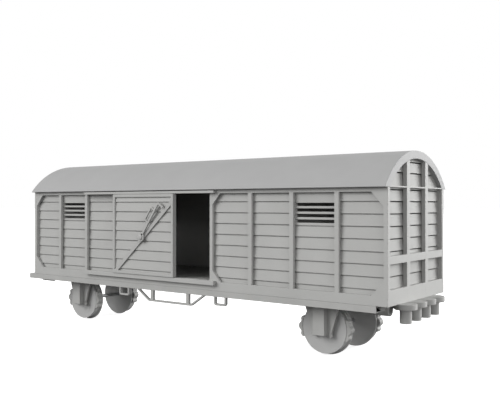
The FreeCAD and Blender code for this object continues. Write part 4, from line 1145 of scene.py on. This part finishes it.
def axle(end_word, centre):
    """The shaft with its two journals and chamfered tips."""
    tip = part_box(f"axle_{end_word}")[1].y
    shoulder = abs(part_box(f"wheel_near_{end_word}")[0].y) + 0.5 * MM
    half = [(AXLE_RADIUS, shoulder), (JOURNAL_RADIUS, shoulder), (JOURNAL_RADIUS, tip), (0, tip)]
    profile = [(radius, -station) for radius, station in reversed(half)] + half
    profile = rounded(profile, 0.25 * MM, 3, False)
    make_piece(f"shaft_{end_word}", [turned(profile, centre, "Y", 48)], axle_steel, f"axle_{end_word}",
               f"wheelset_{end_word}")


axle_centres = {}
for end_word in ENDS:
    for side_word, side in SIDES.items():
        axle_centres[end_word] = wheel(side_word, side, end_word)
    axle(end_word, axle_centres[end_word])

# %% [markdown]
# ## Bushes and brake shoes
# A bush is a ring pressed into its axlebox. A brake shoe has a back of three rounds, joined by two smaller
# ones. Its outer edge is the furthest of these circles: a circle of radius r at distance d and bearing b is
# met by a ray of bearing a at d cos(a - b) + sqrt(r^2 - d^2 sin^2(a - b)). The inner edge is an arc just
# clear of the tread.

# %% Bushes and brake shoes
SHOE_ROUNDS = np.array([(-17, 20.9, 2.6), (-8.5, 20.9, 2.0), (0, 21.2, 3.6),
                        (8.5, 20.9, 2.0), (17, 20.9, 2.6)])
SHOE_CLEARANCE = 0.3 * MM


def bushes():
    """Four brass rings, each at the bottom of its axlebox's bore."""
    outer_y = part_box("axle_bushes")[1].y
    radius, bore, length = 2.6 * MM, 1.55 * MM, 3.5 * MM
    inner_y = outer_y - length
    section = [(bore, inner_y), (radius, inner_y), (radius, outer_y), (bore, outer_y)]
    loop = rounded(section, 0.15 * MM, 3)
    solids = []
    for side in SIDES.values():
        for centre in axle_centres.values():
            solids.append(turned(loop * (1, side), centre, "Y", 36, closed=True))
    make_piece("bush_rings", solids, bush_brass, "axle_bushes")


def shoe_outline(centre, toward):
    """The shoe's outline in X and Z: the furthest of its rounds, then back along the arc by the tread."""
    bearing, distance, radius = SHOE_ROUNDS.T
    bearing, distance, radius = np.radians(bearing), distance * MM, radius * MM
    end = bearing[-1] + np.arcsin(radius[-1] / distance[-1]) * 0.96
    angle = np.linspace(-end, end, 61)
    offset = angle[:, None] - bearing
    inside = radius ** 2 - (distance * np.sin(offset)) ** 2
    reach = np.where(inside > 0, distance * np.cos(offset) + np.sqrt(np.maximum(inside, 0)), 0).max(1)
    inner = np.full(61, TREAD_RADIUS + SHOE_CLEARANCE)
    polar_r = np.concatenate([reach, inner])
    polar_a = np.concatenate([angle, np.linspace(end, -end, 61)])
    x, z = toward * polar_r * np.cos(polar_a), polar_r * np.sin(polar_a)
    return np.stack([centre[0] + x, centre[1] + z], 1)


def brake_shoes():
    """Eight shoes, one on each side of each wheel."""
    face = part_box("brake_shoes")[1].y
    back = abs(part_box("wheel_near_left")[1].y) + 2.4 * MM
    solids = []
    for side in SIDES.values():
        depth = sorted((side * back, side * face))
        for centre in axle_centres.values():
            for toward in (-1, 1):
                solids.append(bar(shoe_outline(centre, toward), *depth, "Y", 0.15 * MM, "strip"))
    make_piece("shoe_blocks", solids, underframe_plastic, "brake_shoes")


bushes()
brake_shoes()

# %% [markdown]
# ## The deck and its screws
# Inside, the load stands on a deck moulded as cross planks with open joints. Its long section is a row of
# flats with a narrow groove between them, carried across the car. Six screws hold the floor together from
# below. A screw head is a small dome, and its cross recess is taken out of the height of the dome: two
# straight grooves, each deepest on its own middle line.

# %% Deck and screws
PLANK = 9 * MM
JOINT = 0.5 * MM
JOINT_DEPTH = 0.6 * MM
DECK_THICK = 2.5 * MM
RIB_SPAN = np.array([41, 45]) * MM
RIB_REACH = 195 * MM
HEAD_RADIUS = 2.2 * MM


def deck():
    """Planked deck with two ribs under it."""
    low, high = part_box("floor_deck")
    underside = high.z - DECK_THICK
    count = int((high.x - low.x) // PLANK)
    pitch = (high.x - low.x) / count
    starts = low.x + pitch * np.arange(1, count)
    joint = np.array([(-JOINT, 0), (-JOINT / 4, -JOINT_DEPTH), (JOINT / 4, -JOINT_DEPTH), (JOINT, 0)])
    top = (np.stack([starts, np.full(count - 1, high.z)], 1)[:, None] + joint[None]).reshape(-1, 2)
    bottom = [(high.x, high.z), (high.x, underside), (low.x, underside)]
    outline = np.concatenate([[(low.x, high.z)], top, bottom])
    solids = [bar(outline, low.y, high.y, "Y", 0.1 * MM)]
    for side in SIDES.values():
        rib = rectangle(sorted(side * RIB_SPAN), (low.z, underside + 0.2 * MM))
        solids.append(bar(rib, -RIB_REACH, RIB_REACH, "X", 0.2 * MM))
    make_piece("plank_deck", solids, deck_plastic, "floor_deck")


def screw(spot, head_low, head_high, tip):
    """One screw: a domed head with a cross recess, and its shank.

    The head is a polar grid. Its underside is low + dome x (r / R)^3, and the recess raises it by
    depth x max(0, 1 - |x| / half width) wherever the groove's own length reaches.
    """
    shank, dome, recess, groove, arm = 1.2 * MM, 0.6 * MM, 0.7 * MM, 0.35 * MM, 1.4 * MM
    r = np.linspace(0, 1, 25)[:, None] * HEAD_RADIUS
    a = np.linspace(0, 2 * np.pi, 96, endpoint=False)[None]
    x, y = r * np.cos(a), r * np.sin(a)
    long_x = np.maximum(0, 1 - np.abs(y) / groove) * (np.abs(x) < arm)
    long_y = np.maximum(0, 1 - np.abs(x) / groove) * (np.abs(y) < arm)
    z = head_low + dome * (r / HEAD_RADIUS) ** 3 + recess * np.maximum(long_x, long_y)
    cap = np.stack([spot[0] + x, spot[1] + y, np.broadcast_to(z, x.shape)], -1)
    upper_r = np.array([HEAD_RADIUS, shank, shank, shank * 0.6, 0])[:, None]
    upper_z = np.array([head_high, head_high, tip - 0.6 * MM, tip, tip])[:, None]
    upper = np.stack([spot[0] + upper_r * np.cos(a), spot[1] + upper_r * np.sin(a),
                      np.broadcast_to(upper_z, (5, 96))], -1)
    return tube(np.concatenate([cap, upper]), "none")


def screws():
    """Six screws in two rows."""
    low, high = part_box("body_screws")
    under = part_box("base_plate")[0].z
    reach_x, reach_y = high.x - HEAD_RADIUS, high.y - HEAD_RADIUS
    spots = [(x, y) for x in (-reach_x, 0, reach_x) for y in (-reach_y, reach_y)]
    solids = [screw(spot, low.z, under, high.z) for spot in spots]
    make_piece("cross_head_screws", solids, pin_steel, "body_screws")


deck()
screws()
